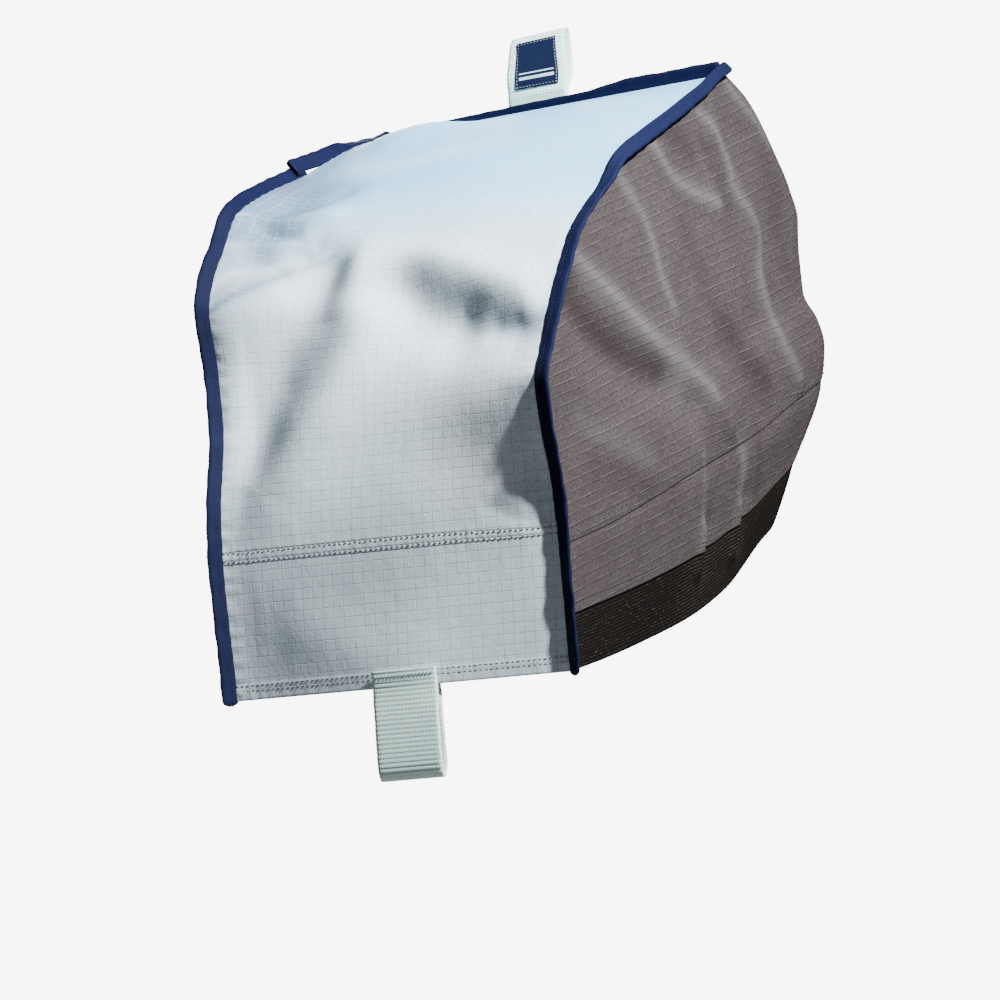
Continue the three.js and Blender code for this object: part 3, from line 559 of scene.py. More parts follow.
def ribbed_piece(piece, run, pitch, depth, cloth):
    """Gives a piece its ribs. run holds each vertex's distance across the ribs, in millimetres."""
    attribute = piece.data.attributes.new("run", "FLOAT", "POINT")
    attribute.data.foreach_set("value", np.asarray(run, float).ravel())
    return grow(piece, RIBS, Pitch=pitch, Depth=depth * MILLIMETRE, Cloth=cloth)


def sewn_rows(name, lines, spacing, length, thread, colour, seed=4):
    """Rows of stitches along lines of points in millimetres."""
    points, edges = [], []
    for line in lines:
        start = len(points)
        points.extend(in_frame(line).tolist())
        edges.extend((i, i + 1) for i in range(start, len(points) - 1))
    mesh = bpy.data.meshes.new(name)
    mesh.from_pydata(points, edges, [])
    piece = bpy.data.objects.new(name, mesh)
    bpy.context.collection.objects.link(piece)
    return grow(piece, STITCHES, Spacing=spacing * MILLIMETRE, Length=length * MILLIMETRE,
                Thread=thread * MILLIMETRE, Seed=seed, Colour=colour)


# Finishes

class Signal:
    """A socket that does sums: an expression on signals adds the Math nodes for it."""

    def __init__(self, finish, socket):
        self.finish = finish
        self.socket = socket

    def sum_of(self, operation, *others):
        values = {f"_{i + 1}": (o.socket if isinstance(o, Signal) else o) for i, o in enumerate(others)}
        return self.finish.node("ShaderNodeMath", {"operation": operation}, _0=self.socket, **values)

    def reflected(self, operation, other):
        return self.finish.node("ShaderNodeMath", {"operation": operation}, _0=other, _1=self.socket)

    def __add__(self, other):
        return self.sum_of("ADD", other)

    def __radd__(self, other):
        return self.sum_of("ADD", other)

    def __sub__(self, other):
        return self.sum_of("SUBTRACT", other)

    def __rsub__(self, other):
        return self.reflected("SUBTRACT", other)

    def __mul__(self, other):
        return self.sum_of("MULTIPLY", other)

    def __rmul__(self, other):
        return self.sum_of("MULTIPLY", other)

    def __truediv__(self, other):
        return self.sum_of("DIVIDE", other)

    def __rtruediv__(self, other):
        return self.reflected("DIVIDE", other)

    def __pow__(self, other):
        return self.sum_of("POWER", other)

    def fraction(self):
        return self.sum_of("FRACT")

    def size(self):
        return self.sum_of("ABSOLUTE")

    def sine(self):
        return self.sum_of("SINE")

    def most(self, other):
        return self.sum_of("MAXIMUM", other)

    def least(self, other):
        return self.sum_of("MINIMUM", other)

    def share(self, low, high):
        """0 at low and 1 at high, smoothly."""
        return self.finish.node("ShaderNodeMapRange", {"interpolation_type": "SMOOTHSTEP"},
                                Value=self.socket, _1=low, _2=high)


class Finish:
    """One material, built from a Principled shader."""

    def __init__(self, name, **constants):
        self.material = bpy.data.materials.new(name)
        self.material.use_nodes = True
        self.nodes = self.material.node_tree.nodes
        self.links = self.material.node_tree.links
        self.shader = next(n for n in self.nodes if n.type == "BSDF_PRINCIPLED")
        for label, value in constants.items():
            self.shader.inputs[label.replace("_", " ")].default_value = value

    def node(self, kind, settings=None, output=0, **values):
        made = self.nodes.new(kind)
        for key, value in (settings or {}).items():
            setattr(made, key, value)
        for key, value in values.items():
            socket = made.inputs[int(key[1:])] if key[0] == "_" else made.inputs[key]
            value = value.socket if isinstance(value, Signal) else value
            if isinstance(value, bpy.types.NodeSocket):
                self.links.new(value, socket)
            else:
                socket.default_value = value
        return Signal(self, made.outputs[output])

    def position(self):
        return self.node("ShaderNodeTexCoord", output="Object")

    def map(self, label):
        """The two coordinates of a UV map, in metres."""
        both = self.node("ShaderNodeUVMap", {"uv_map": label})
        return (self.node("ShaderNodeSeparateXYZ", output=0, Vector=both),
                self.node("ShaderNodeSeparateXYZ", output=1, Vector=both), both)

    def noise(self, vector, scale, detail=2.0, roughness=0.5):
        return self.node("ShaderNodeTexNoise", Vector=vector, Scale=scale, Detail=detail, Roughness=roughness)

    def stretched(self, vector, x, y, z):
        return self.node("ShaderNodeVectorMath", {"operation": "MULTIPLY"}, _0=vector, _1=(x, y, z))

    def thread(self, coordinate, pitch, width):
        """1 on a thread that repeats at a pitch, 0 away from it."""
        away = ((coordinate / pitch + 0.5).fraction() - 0.5).size() * pitch
        return 1 - away.share(width * 0.35, width)

    def blend(self, share, low, high, way="MIX"):
        return self.node("ShaderNodeMix", {"data_type": "RGBA", "blend_type": way}, output=2,
                         Factor=share, _6=low, _7=high)

    def wear(self, colour=None, roughness=None, bump=None, depth=0.0002):
        if colour is not None:
            self.links.new(colour.socket, self.shader.inputs["Base Color"])
        if roughness is not None:
            self.links.new(roughness.socket, self.shader.inputs["Roughness"])
        if bump is not None:
            normal = self.node("ShaderNodeBump", Height=bump, Strength=1.0, Distance=depth)
            self.links.new(normal.socket, self.shader.inputs["Normal"])
        return self.material


def colour(red, green, blue):
    """A colour as its screen values, in linear light."""
    def linear(value):
        value /= 255
        return value / 12.92 if value <= 0.04045 else ((value + 0.055) / 1.055)**2.4
    return (linear(red), linear(green), linear(blue), 1.0)


def needle_rows(finish, seam, rows, half, pitch):
    """Dark dashes between the stitches of each row of a seam map, 1 at a needle hole."""
    run, height = seam
    dash = finish.thread(run, pitch * MILLIMETRE, 0.6 * MILLIMETRE)
    mask = None
    for row in rows:
        line = 1 - (height - row).size().share(half * 0.5, half)
        mask = line if mask is None else mask.most(line)
    return mask * (dash * 0.7 + 0.3)


def pale_ripstop():
    finish = Finish("pale_ripstop", Specular_IOR_Level=0.25)
    place = finish.position()
    across, along, _ = finish.map("weave")
    seam_run, seam_height, _ = finish.map("seam")
    painted_highlight, painted_shade, _ = finish.map("marks")
    warp = across - along * 0.05
    broken = finish.noise(place, 180, 2).share(0.34, 0.66)
    strong = finish.thread(warp, WARP_SQUARE, RIP_WIDTH).most(
        finish.thread(along, WEFT_SQUARE, RIP_WIDTH))
    # A line beside each rip thread, for the painted highlight on the raised thread's lit side
    painted_lit_line = finish.thread(warp - RIP_STEP, WARP_SQUARE, RIP_WIDTH).most(
        finish.thread(along + RIP_STEP, WEFT_SQUARE, RIP_WIDTH))
    grains = finish.noise(place, 520, 3, 0.75)
    plain = finish.blend(finish.noise(place, 22, 4, 0.6), colour(198, 212, 218), colour(216, 228, 234))
    # Painted sky reflection: the top slope turns blue above the knee, where it faces the sky
    plain = finish.blend(along.share(0.29, 0.40) * 0.92, plain, colour(120, 186, 234))
    # Painted shade along the far side of the top slope, which faces away from the key light
    painted_far_shade = (1 - across.share(-0.112, -0.03)) * along.share(0.28, 0.34) * (1 - along.share(0.40, 0.50))
    plain = finish.blend(painted_far_shade * 0.8, plain, colour(70, 100, 132))
    # Painted highlight and painted shade along the creases
    plain = finish.blend(painted_highlight, plain, colour(236, 242, 246))
    plain = finish.blend(painted_shade, plain, colour(84, 104, 126))
    lined = finish.blend(strong * (broken * 0.3 + 0.14), plain, colour(122, 128, 134))
    # The rip threads are the weave's own darker lines; the line beside each is a painted highlight
    lined = finish.blend(painted_lit_line * (0.2 - broken * 0.14), lined, colour(232, 240, 244))
    lined = finish.blend(grains.share(0.35, 0.7) * 0.24, lined, colour(158, 168, 176))
    soiled = finish.blend(finish.noise(place, 60, 5, 0.7).share(0.62, 0.8) * 0.2,
                          lined, colour(158, 162, 163))
    seam_holes = needle_rows(finish, (seam_run, seam_height), (-1.0, 1.0), 0.3, PALE_STITCH)
    hem_holes = needle_rows(finish, (seam_run, along), (0.0066, 0.0100), 0.0006, PALE_STITCH)
    soiled = finish.blend(seam_holes * 0.75 + hem_holes * 0.28, soiled, colour(72, 62, 58))
    creases = finish.noise(finish.stretched(place, 1, 1, 0.6), 55, 3, 0.55)
    weave = strong * -0.2 + grains * 0.5 + creases * 2.2 - seam_holes * 1.2
    return finish.wear(soiled, 0.5 + grains * 0.2, weave, 0.00022)


def taupe_ripstop():
    finish = Finish("taupe_ripstop", Specular_IOR_Level=0.1)
    place = finish.position()
    run, height, both = finish.map("weave")
    seam_run, seam_height, _ = finish.map("seam")
    painted_highlight, painted_shade, _ = finish.map("marks")
    streaks = finish.noise(finish.stretched(both, 45, 320, 1), 1, 2)
    weft = finish.thread(height, WEFT_SQUARE, RIP_WIDTH)
    # A line beside each weft thread, for the painted shade on the raised thread's shaded side
    painted_shaded_line = finish.thread(height + RIP_STEP, WEFT_SQUARE, RIP_WIDTH)
    warp = finish.thread(run, WARP_SQUARE, RIP_WIDTH)
    speckle = finish.noise(place, 480, 3, 0.75)
    fine = finish.noise(place, 1200, 1)
    plain = finish.blend(speckle.share(0.32, 0.68), colour(40, 33, 33), colour(62, 54, 54))
    plain = finish.blend(fine.share(0.4, 0.7) * 0.4, plain, colour(77, 70, 71))
    plain = finish.blend(finish.noise(place, 26, 4, 0.6).share(0.35, 0.7) * 0.3, plain, colour(44, 38, 38))
    # Painted sheen highlight and painted shade along the creases
    plain = finish.blend(painted_highlight * (0.4 + fine * 0.4), plain, colour(98, 94, 95))
    plain = finish.blend(painted_shade * 0.7, plain, colour(26, 19, 19))
    lined = finish.blend(weft * (streaks.share(0.44, 0.62) * 0.24 + 0.05), plain, colour(106, 99, 97))
    # Painted shade beside each weft thread
    lined = finish.blend(painted_shaded_line * (streaks.share(0.3, 0.6) * 0.36 + 0.2), lined, colour(28, 24, 24))
    lined = finish.blend(warp * 0.10, lined, colour(38, 33, 34))
    slubs = finish.noise(finish.stretched(both, 90, 900, 1), 1, 2).share(0.6, 0.75)
    lined = finish.blend(slubs * 0.2, lined, colour(94, 88, 87))
    holes = needle_rows(finish, (seam_run, seam_height), (-0.007, -0.001), 0.0006, TAUPE_STITCH)
    lined = finish.blend(holes * 0.5, lined, colour(24, 20, 20))
    creases = finish.noise(finish.stretched(place, 1, 1, 0.6), 50, 3, 0.55)
    weave = weft * 0.4 + warp * 0.15 + speckle * 0.8 + slubs * 0.3 + creases * 3.0 - holes * 1.6
    return finish.wear(lined, 0.62 + speckle * 0.2, weave, 0.00022)


def navy_tape():
    finish = Finish("navy_tape", Specular_IOR_Level=0.08)
    place = finish.position()
    run, over, _ = finish.map("weave")
    ribs = finish.thread(run + over * 0.6, 0.9 * MILLIMETRE, 0.45 * MILLIMETRE)
    grains = finish.noise(place, 900, 2, 0.6)
    cloudy = finish.noise(place, 70, 3)
    plain = finish.blend(grains.share(0.3, 0.72), colour(4, 6, 20), colour(12, 16, 45))
    plain = finish.blend(cloudy.share(0.4, 0.7) * 0.45, plain, colour(6, 7, 20))
    plain = finish.blend(ribs * 0.25, plain, colour(24, 30, 76))
    return finish.wear(plain, 0.55 + grains * 0.25, ribs * 0.6 + grains * 0.7 + cloudy * 2.0, 0.00018)


def black_elastic():
    finish = Finish("black_elastic", Specular_IOR_Level=0.05)
    place = finish.position()
    run, height, _ = finish.map("weave")
    rib = finish.thread(height, BAND_RIB * MILLIMETRE, 0.75 * MILLIMETRE)
    cells = finish.thread(run, 1.1 * MILLIMETRE, 0.4 * MILLIMETRE)
    grains = finish.noise(place, 900, 2, 0.7)
    plain = finish.blend(rib * (grains.share(0.3, 0.6) * 0.8 + 0.2), colour(4, 3, 3), colour(33, 27, 24))
    plain = finish.blend(run.share(0.17, 0.26) * rib * 0.5, plain, colour(52, 43, 36))
    specks = finish.noise(place, 900, 0).share(0.72, 0.78) * rib
    plain = finish.blend(specks * 0.7, plain, colour(112, 104, 90))
    return finish.wear(plain, 0.7 + grains * 0.2, rib * 0.5 + cells * 0.4 + grains * 0.4, 0.0002)


def ribbed_webbing():
    finish = Finish("ribbed_webbing", Specular_IOR_Level=0.2)
    place = finish.position()
    across, run, _ = finish.map("weave")
    rib = finish.thread(run - 0.0009, WEBBING_RIB * MILLIMETRE, 1.2 * MILLIMETRE)
    warp = finish.thread(across, 1.0 * MILLIMETRE, 0.45 * MILLIMETRE)
    grains = finish.noise(place, 1000, 2, 0.6)
    plain = finish.blend(grains.share(0.3, 0.7), colour(196, 232, 222), colour(220, 248, 240))
    plain = finish.blend(rib * 0.3, plain, colour(150, 166, 158))
    plain = finish.blend(warp * 0.18, plain, colour(222, 233, 228))
    selvedge = across.size().share(19.2 * MILLIMETRE, 20.4 * MILLIMETRE)
    plain = finish.blend(selvedge * 0.55, plain, colour(214, 226, 216))
    return finish.wear(plain, 0.6 + grains * 0.2, warp * 0.5 + grains * 0.6 - rib * 0.5, 0.0002)


def woven_label():
    finish = Finish("woven_label", Specular_IOR_Level=0.1)
    place = finish.position()
    across, up, _ = finish.map("weave")
    threads = finish.thread(up, 0.42 * MILLIMETRE, 0.2 * MILLIMETRE)
    steps = finish.thread(across, 0.5 * MILLIMETRE, 0.25 * MILLIMETRE)
    grains = finish.noise(place, 1400, 1)
    plain = finish.blend(grains, colour(8, 15, 38), colour(17, 28, 58))
    plain = finish.blend(threads * 0.22, plain, colour(6, 11, 28))
    bar = (1 - (up - 7.0 * MILLIMETRE).size().share(0.9 * MILLIMETRE, 1.1 * MILLIMETRE))
    bar = bar.most(1 - (up - 10.4 * MILLIMETRE).size().share(0.35 * MILLIMETRE, 0.5 * MILLIMETRE))
    inside = 1 - across.size().share(12.4 * MILLIMETRE, 12.6 * MILLIMETRE)
    plain = finish.blend(bar * inside * 0.9, plain, colour(196, 206, 214))
    return finish.wear(plain, 0.5 + grains * 0.2, threads * 0.5 + steps * 0.3 + grains * 0.3, 0.00012)


def sewing_thread(name, dark, light):
    finish = Finish(name, Specular_IOR_Level=0.15)
    place = finish.position()
    twist = finish.noise(place, 1800, 1)
    return finish.wear(finish.blend(twist, colour(*dark), colour(*light)), 0.5 + twist * 0.2, twist, 0.0001)


def pale_floor():
    finish = Finish("pale_floor", Specular_IOR_Level=0.2)
    cloudy = finish.noise(finish.position(), 3, 3)
    plain = finish.blend(cloudy, (0.80, 0.80, 0.80, 1), (0.84, 0.84, 0.84, 1))
    return finish.wear(plain, 0.75 + cloudy * 0.1)


RIBS = rib_tree()
STITCHES = stitch_tree()
PALE = pale_ripstop()
TAUPE = taupe_ripstop()
NAVY = navy_tape()
BLACK = black_elastic()
WEBBING = ribbed_webbing()
LABEL = woven_label()
PALE_THREAD = sewing_thread("pale_thread", (118, 112, 108), (184, 182, 180))
TAUPE_THREAD = sewing_thread("taupe_thread", (50, 44, 43), (84, 78, 76))
NAVY_THREAD = sewing_thread("navy_thread", (6, 8, 22), (20, 24, 56))
SAND_THREAD = sewing_thread("sand_thread", (150, 160, 152), (196, 206, 196))


def dress(piece, material):
    piece.data.materials.clear()
    piece.data.materials.append(material)
    return piece


# The strip: back and top

def pucker(run, away, reach, pitch, height):
    """Small gathers that a row of stitches pulls into the cloth."""
    wander = waves(7, 61, 37, 113)
    return height * np.sin(2 * math.pi * run / pitch + 1.6 * wander(run)) * np.exp(-(away / reach)**2)


def painted_highlight_and_shade(marks, first, second):
    """A map whose first value is the painted highlight and whose second is the painted shade along the
    creases.
    """
    shade = fold_height(marks, first, second)
    return np.stack([np.maximum(shade, 0), np.maximum(-shade, 0)], -1) / MILLIMETRE


def seam_rows(across):
    """The middle of the seam's two rows of stitches, and half their distance, in millimetres up the strip."""
    return SEAM_ROWS_MIDDLE - 1.8 * smooth(across, 30, 115), 2.75 - 0.55 * smooth(across, -20, 115)


def strip_cloth(name, rows, lift):
    columns = spaced((-HALF_WIDTH + 0.6, 1.1), (-HALF_WIDTH + 22, 2.1),
                     (HALF_WIDTH - 22, 1.1), (HALF_WIDTH - 0.6, 1))
    across, along = np.meshgrid(columns, rows)
    grid = strip_point(across, along)
    normal = normals_of(grid)
    seam, half = seam_rows(across)
    from_side = HALF_WIDTH - abs(across)
    raised = (lift(along) + pucker(across, along - seam, 7, 7.3, 0.09)
              + pucker(across, along - 6, 6, 9.5, 0.07)
              + pucker(along, from_side, 8, 11.5, 0.28) * smooth(from_side, 0, 3))
    groove = (np.exp(-((along - seam - half) / 0.8)**2)
              + np.exp(-((along - seam + half) / 0.8)**2)) * 0.16
    grid = grid + normal * (raised - groove)[..., None]
    maps = {"weave": np.stack([across, along], -1),
            "seam": np.stack([across, (along - seam) / half / MILLIMETRE], -1),
            "marks": painted_highlight_and_shade(STRIP_PAINTED_SHADING, across, along)}
    return cloth_sheet(name, grid, maps)


def build_strip():
    lap_low = SEAM_HEIGHT - SEAM_LAP
    upper_rows = spaced((lap_low, 0.55), (SEAM_HEIGHT + 6, 1.6), (SEAM_HEIGHT + 20, 2.3),
                        (STRIP_LENGTH - 12, 1.2), (STRIP_LENGTH - 1.0, 1))
    upper = strip_cloth("strip_upper", upper_rows,
                        lambda along: 0.12 * (1 - smooth(along, SEAM_HEIGHT - 3, SEAM_HEIGHT + 4)) - 0.25)
    lower_rows = spaced((0, 0.6), (HEM_DEPTH + 2, 2.0), (lap_low - 3, 0.45), (lap_low + 2, 1),
                        (SEAM_HEIGHT, 1))
    lower = strip_cloth("strip_skirt", lower_rows,
                        lambda along: 0.22 * (1 - smooth(along, HEM_DEPTH - 3, HEM_DEPTH)) - 0.25
                        - 0.2 * (1 - smooth(along, 0, 1.2))
                        - 0.75 * smooth(along, lap_low + 0.2, lap_low + 1.8))
    return dress(upper, PALE), dress(lower, PALE)


def strip_line(height, lift, reach=HALF_WIDTH - 3):
    """A line across the strip at a height, or at a height for each distance across."""
    across = np.linspace(-reach, reach, 160)
    along = height(across) if callable(height) else np.full_like(across, height)
    grid = strip_point(np.broadcast_to(across, (3, 160)), np.stack([along - 1, along, along + 1]))
    return grid[1] + normals_of(grid)[1] * lift


# The wrap: side, front and side

def wrap_grid(places, marks):
    grid = wrap_point(*np.meshgrid(places, marks))
    normal = normals_of(grid)
    side, forward, *_ = wrap_column(np.meshgrid(places, marks)[0])
    steady = (1 - smooth(forward, 0.05, 0.2))[..., None]
    plain = np.stack([side, np.zeros_like(side), np.zeros_like(side)], -1)
    normal = normal * (1 - steady) + plain * steady
    return grid, normal / np.linalg.norm(normal, axis=-1, keepdims=True)


def wrap_maps(places, grid):
    """The weave map follows the grain, and the seam map gives the height above the felled seam."""
    seam_line = wrap_point(places, np.full_like(places, 2.0))
    side, forward, *_ = wrap_column(places)
    plan = np.stack([np.where(forward < 1, side * HALF_WIDTH, seam_line[:, 0]), seam_line[:, 1]], -1)
    run = np.concatenate([[0], np.cumsum(np.linalg.norm(np.diff(plan, axis=0), axis=1))])
    from_rear = np.minimum(run, run[-1] - run)
    corner = from_rear[forward < 1].max()
    round_front = np.clip((from_rear - corner) / (from_rear.max() - corner), 0, 1)
    climb = np.minimum(from_rear, corner) + (from_rear.max() - corner) * (round_front - round_front**2 / 2)
    ahead = (grid[..., 1] - seam_line[None, :, 1]) * (1 - round_front)**2
    level = grid[..., 2] * math.cos(GRAIN_RISE) - (climb + ahead) * math.sin(GRAIN_RISE)
    run_grid = np.broadcast_to(run, level.shape)
    seam_height = grid[..., 2] - seam_line[None, :, 2]
    return {"weave": np.stack([run_grid, level], -1), "seam": np.stack([run_grid, seam_height], -1),
            "marks": painted_highlight_and_shade(SIDE_PAINTED_SHADING, grid[..., 1], grid[..., 2])}


def wrap_cloth(marks, lift, fine=1.0):
    places = spaced((-1, 0.0034 * fine), (-CORNER_SHARE, 0.009 * fine),
                    (CORNER_SHARE, 0.0075 * fine), (1, 1))
    grid, normal = wrap_grid(places, marks)
    maps = wrap_maps(places, grid)
    run, height = maps["seam"][..., 0], maps["seam"][..., 1]
    top = grid[-1:, :, 2] - grid[..., 2]
    raised = lift(np.meshgrid(places, marks)[1]) + pucker(run, height + 4, 9, 8.8, 0.16)
    raised = raised + pucker(run, np.where(marks[-1] > 2.5, top, 99), 8, 9.5, 0.3)
    grid = grid + normal * raised[..., None]
    return grid, maps


def build_wrap():
    marks = spaced((1.82, 0.012), (2.03, 0.02), (2.1, 0.0085), (3, 1))
    grid, maps = wrap_cloth(marks, lambda mark: 0.12 * (1 - smooth(mark, 1.95, 2.03)) - 0.25)
    upper = dress(cloth_sheet("wrap_upper", grid, maps), TAUPE)
    marks = spaced((0.88, 0.02), (1.08, 0.045), (1.8, 0.03), (2, 1))
    grid, maps = wrap_cloth(marks, lambda mark: -0.2 - 0.5 * smooth(mark, 1.7, 1.8))
    skirt = dress(cloth_sheet("wrap_skirt", grid, maps), TAUPE)
    return upper, skirt


def build_band():
    marks = np.linspace(0, 1.02, 92)
    grid, maps = wrap_cloth(marks, lambda mark: -1.1, fine=1.5)
    across_band = np.meshgrid(maps["weave"][0, :, 0], marks * BAND_WIDTH)[1]
    maps["weave"] = np.stack([maps["weave"][..., 0], across_band], -1)
    band = cloth_sheet("hem_band", grid, maps, BAND_THICKNESS)
    return ribbed_piece(band, np.tile(across_band.ravel(), 2), BAND_RIB, BAND_RIB_DEPTH, BLACK)


def wrap_line(mark, lift, ends=0.004, drop=0.0):
    """A line round the wrap at a mark, some millimetres below it."""
    places = np.linspace(-1 + ends, 1 - ends, 900)
    grid, normal = wrap_grid(places, np.array([mark - 0.02, mark, mark + 0.02]))
    step = grid[2] - grid[0]
    down = step / np.linalg.norm(step, axis=-1, keepdims=True)
    return grid[1] - down * drop + normal[1] * lift


# Bindings

# The folded tape's section: distance out from the seam, and half thickness
FOLD_SECTION = [(-2.6, 0.9), (-1.2, 1.35), (0.6, 1.3), (2.2, 1.1), (3.6, 1.3), (6.4, 1.45), (7.7, 1.25),
                (8.5, 0.75), (TAPE_HEIGHT, 0.0)]
END_ROUNDING = 4.0


def tape_ring(root, out, cross, swell, height):
    ring = []
    for distance, half in FOLD_SECTION:
        reach = distance * height if distance > 0 else distance
        ring.append(root + out * reach + cross * half * swell)
    for distance, half in FOLD_SECTION[-2::-1]:
        reach = distance * height if distance > 0 else distance
        ring.append(root + out * reach - cross * half * swell)
    return ring


def tape(name, roots, outs, crosses, seed, height=None):
    """A folded tape along a path, a little uneven, as it is where it is sewn, with rounded ends."""
    roots, outs, crosses = (np.asarray(v, float) for v in (roots, outs, crosses))
    height = np.ones(len(roots)) if height is None else height
    run = np.concatenate([[0], np.cumsum(np.linalg.norm(np.diff(roots, axis=0), axis=1))])
    thick, tall, sway = waves(seed, 13, 23, 41), waves(seed + 1, 17, 47, 90), waves(seed + 2, 21, 34, 75)
    rings = []
    for i, distance in enumerate(run):
        swell = 1 + 0.09 * thick(distance)
        ring = tape_ring(roots[i], outs[i], crosses[i], swell, height[i] * (1 + 0.035 * tall(distance)))
        bend = crosses[i] * 0.35 * sway(distance)
        from_end = min(distance, run[-1] - distance) / END_ROUNDING
        close = math.sqrt(max(0.02, 1 - (1 - from_end)**2)) if from_end < 1 else 1.0
        heart = roots[i] + outs[i] * 3.2 * height[i]
        bent = [p + bend * max(0.0, (p - roots[i]) @ outs[i]) / TAPE_HEIGHT for p in ring]
        rings.append([heart + (p - heart) * close for p in bent])
    rings = np.array(rings)
    count, sides = rings.shape[:2]
    faces = [face[::-1] for face in grid_faces(count, sides, closed=True)] + end_faces(count, sides)
    round_it = np.concatenate([[0], np.cumsum(np.linalg.norm(np.diff(rings[count // 2], axis=0), axis=1))])
    maps = {"weave": np.stack(np.meshgrid(round_it, run), -1)[..., ::-1]}
    piece = mesh_object(name, rings, faces, maps)
    outward(piece)
    return dress(piece, NAVY)


def outward(piece):
    """Turns a closed piece's faces outwards."""
    work = bmesh.new()
    work.from_mesh(piece.data)
    bmesh.ops.recalc_face_normals(work, faces=work.faces)
    work.to_mesh(piece.data)
    work.free()


# The short S-fold in the far binding, where the tape is folded back on itself: steps along and up
FAR_TUCK = [(450, 0.0), (458, 0.2), (464, 0.8), (466.5, 1.8), (465, 2.8), (459, 3.2), (453.5, 3.6),
            (451.5, 4.6), (453.5, 5.6), (460, 5.6), (472, 4.4), (488, 2.4), (508, 0.8), (530, 0.0)]


def binding_path(side):
    if side > 0:
        along = spaced((-3, 0.8), (2, 2.5), (STRIP_LENGTH + 2, 0.8), (STRIP_LENGTH + 6, 1))
        lift = 5 * smooth(along, 560, 606)
    else:
        before = spaced((-3, 0.8), (2, 2.5), (FAR_TUCK[0][0], 1))[:-1]
        after = spaced((FAR_TUCK[-1][0], 2.5), (STRIP_LENGTH - 3, 0.8), (STRIP_LENGTH + 2, 1))[1:]
        tuck = np.array(FAR_TUCK)
        knots = np.linspace(0, 1, len(tuck))
        fine = np.linspace(0, 1, 70)
        tuck = np.stack([np.interp(fine, knots, tuck[:, k]) for k in range(2)], 1)
        soft = np.array([tuck[max(0, i - 2):i + 3].mean(0) for i in range(len(tuck))])
        along = np.concatenate([before, soft[:, 0], after])
        lift = np.concatenate([np.zeros_like(before), soft[:, 1], np.zeros_like(after)])
    edge = edge_at(side, along)
    lean = LEAN(along)
    which = "near" if side > 0 else "far"
    sideways, normal = lean[which + "_sideways"], lean[which + "_normal"]
    roots = np.stack([edge[0], edge[1] + edge[4] * lift, edge[2] + edge[5] * lift], -1)
    outs = np.stack([side * sideways, normal * edge[4], normal * edge[5]], -1)
    crosses = np.stack([side * normal, -sideways * edge[4], -sideways * edge[5]], -1)
    outs /= np.linalg.norm(outs, axis=1, keepdims=True)
    crosses /= np.linalg.norm(crosses, axis=1, keepdims=True)
    return roots, outs, crosses, lean["near_height"]


# How the front binding stands: its share of the full height, and how far it leans forward, in radians
FRONT_TAPE = Table(["across", "height", "lean"], [
    [-122, 0.55, 0.9], [-90, 0.55, 0.8], [-45, 0.5, 0.15], [-20, 0.6, -0.1], [14, 0.62, -0.1],
    [36, 0.85, -0.1], [60, 1.03, -0.1], [122, 1.03, -0.1],
])


def front_edge(across):
    near, far = edge_at(1, STRIP_LENGTH), edge_at(-1, STRIP_LENGTH)
    share = (np.asarray(across, float) + HALF_WIDTH) / (2 * HALF_WIDTH)
    return np.stack([mix(far[k], near[k], share) for k in range(3)], -1)


def front_path():
    across = np.linspace(-HALF_WIDTH + 0.5, HALF_WIDTH - 1.5, 96)
    roots = front_edge(across)
    lean = FRONT_TAPE(across)["lean"]
    flat = np.zeros_like(lean)
    outs = np.stack([flat, np.sin(lean), np.cos(lean)], -1)
    crosses = np.stack([flat, np.cos(lean), -np.sin(lean)], -1)
    return roots, outs, crosses


def tape_rows(path, distance, half):
    """Lines of sewing on both faces of a tape."""
    roots, outs, crosses = path
    return [roots + outs * distance + crosses * half * sign for sign in (1, -1)]


# Webbing loops and the label

def soft_curve(points, step):
    """A rounded line through sparse points, at even steps."""
    fine = np.array(rounded_line(points, 24))
    run = np.concatenate([[0], np.cumsum(np.linalg.norm(np.diff(fine, axis=0), axis=1))])
    even = np.arange(0, run[-1], step)
    return np.stack([np.interp(even, run, fine[:, k]) for k in range(2)], 1), even


def webbing_loop(name, points, base_at, width, thickness):
    path, run = soft_curve(points, 0.5)
    tangent = np.gradient(path, axis=0)
    tangent /= np.linalg.norm(tangent, axis=1, keepdims=True)
    normal = np.stack([tangent[:, 1], -tangent[:, 0]], 1)
    shares = np.linspace(-0.5, 0.5, 25)
    profile = [(s, 1.0 - 0.55 * smooth(abs(s), 0.47, 0.5)) for s in shares]
    ring = [(s, h) for s, h in profile] + [(s, -h) for s, h in reversed(profile)]
    share = np.array([s for s, _ in ring])
    half = np.array([h for _, h in ring]) * thickness / 2
    edge_wave = waves(len(name), 9, 21, 33)
    share_grid = share[None, :] * (1 + 0.006 * edge_wave(run)[:, None])
    out = path[:, :1] + normal[:, :1] * half[None, :]
    up = path[:, 1:] + normal[:, 1:] * half[None, :]
    grid = base_at(share_grid, out, up)
    rows, sides = grid.shape[:2]
    faces = grid_faces(rows, sides, closed=True) + end_faces(rows, sides)
    run_grid = np.repeat(run[:, None], sides, axis=1)
    maps = {"weave": np.stack([share_grid * width, run_grid], -1)}
    piece = mesh_object(name, grid, faces, maps)
    outward(piece)
    return ribbed_piece(piece, run_grid, WEBBING_RIB, WEBBING_RIB_DEPTH, WEBBING)


REAR_LOOP = {"centre": 5.0, "width": 46.0}
TOP_LOOP = {"centre": -16.7, "width": 43.5, "lean": 0.26, "turn": -0.17, "height": 50.5,
            "open": 10.0, "seat": 3.2}
LABEL_LOWEST = 15.2
LABEL_HALF_WIDTH = 15.5
LABEL_TALL = 32.0


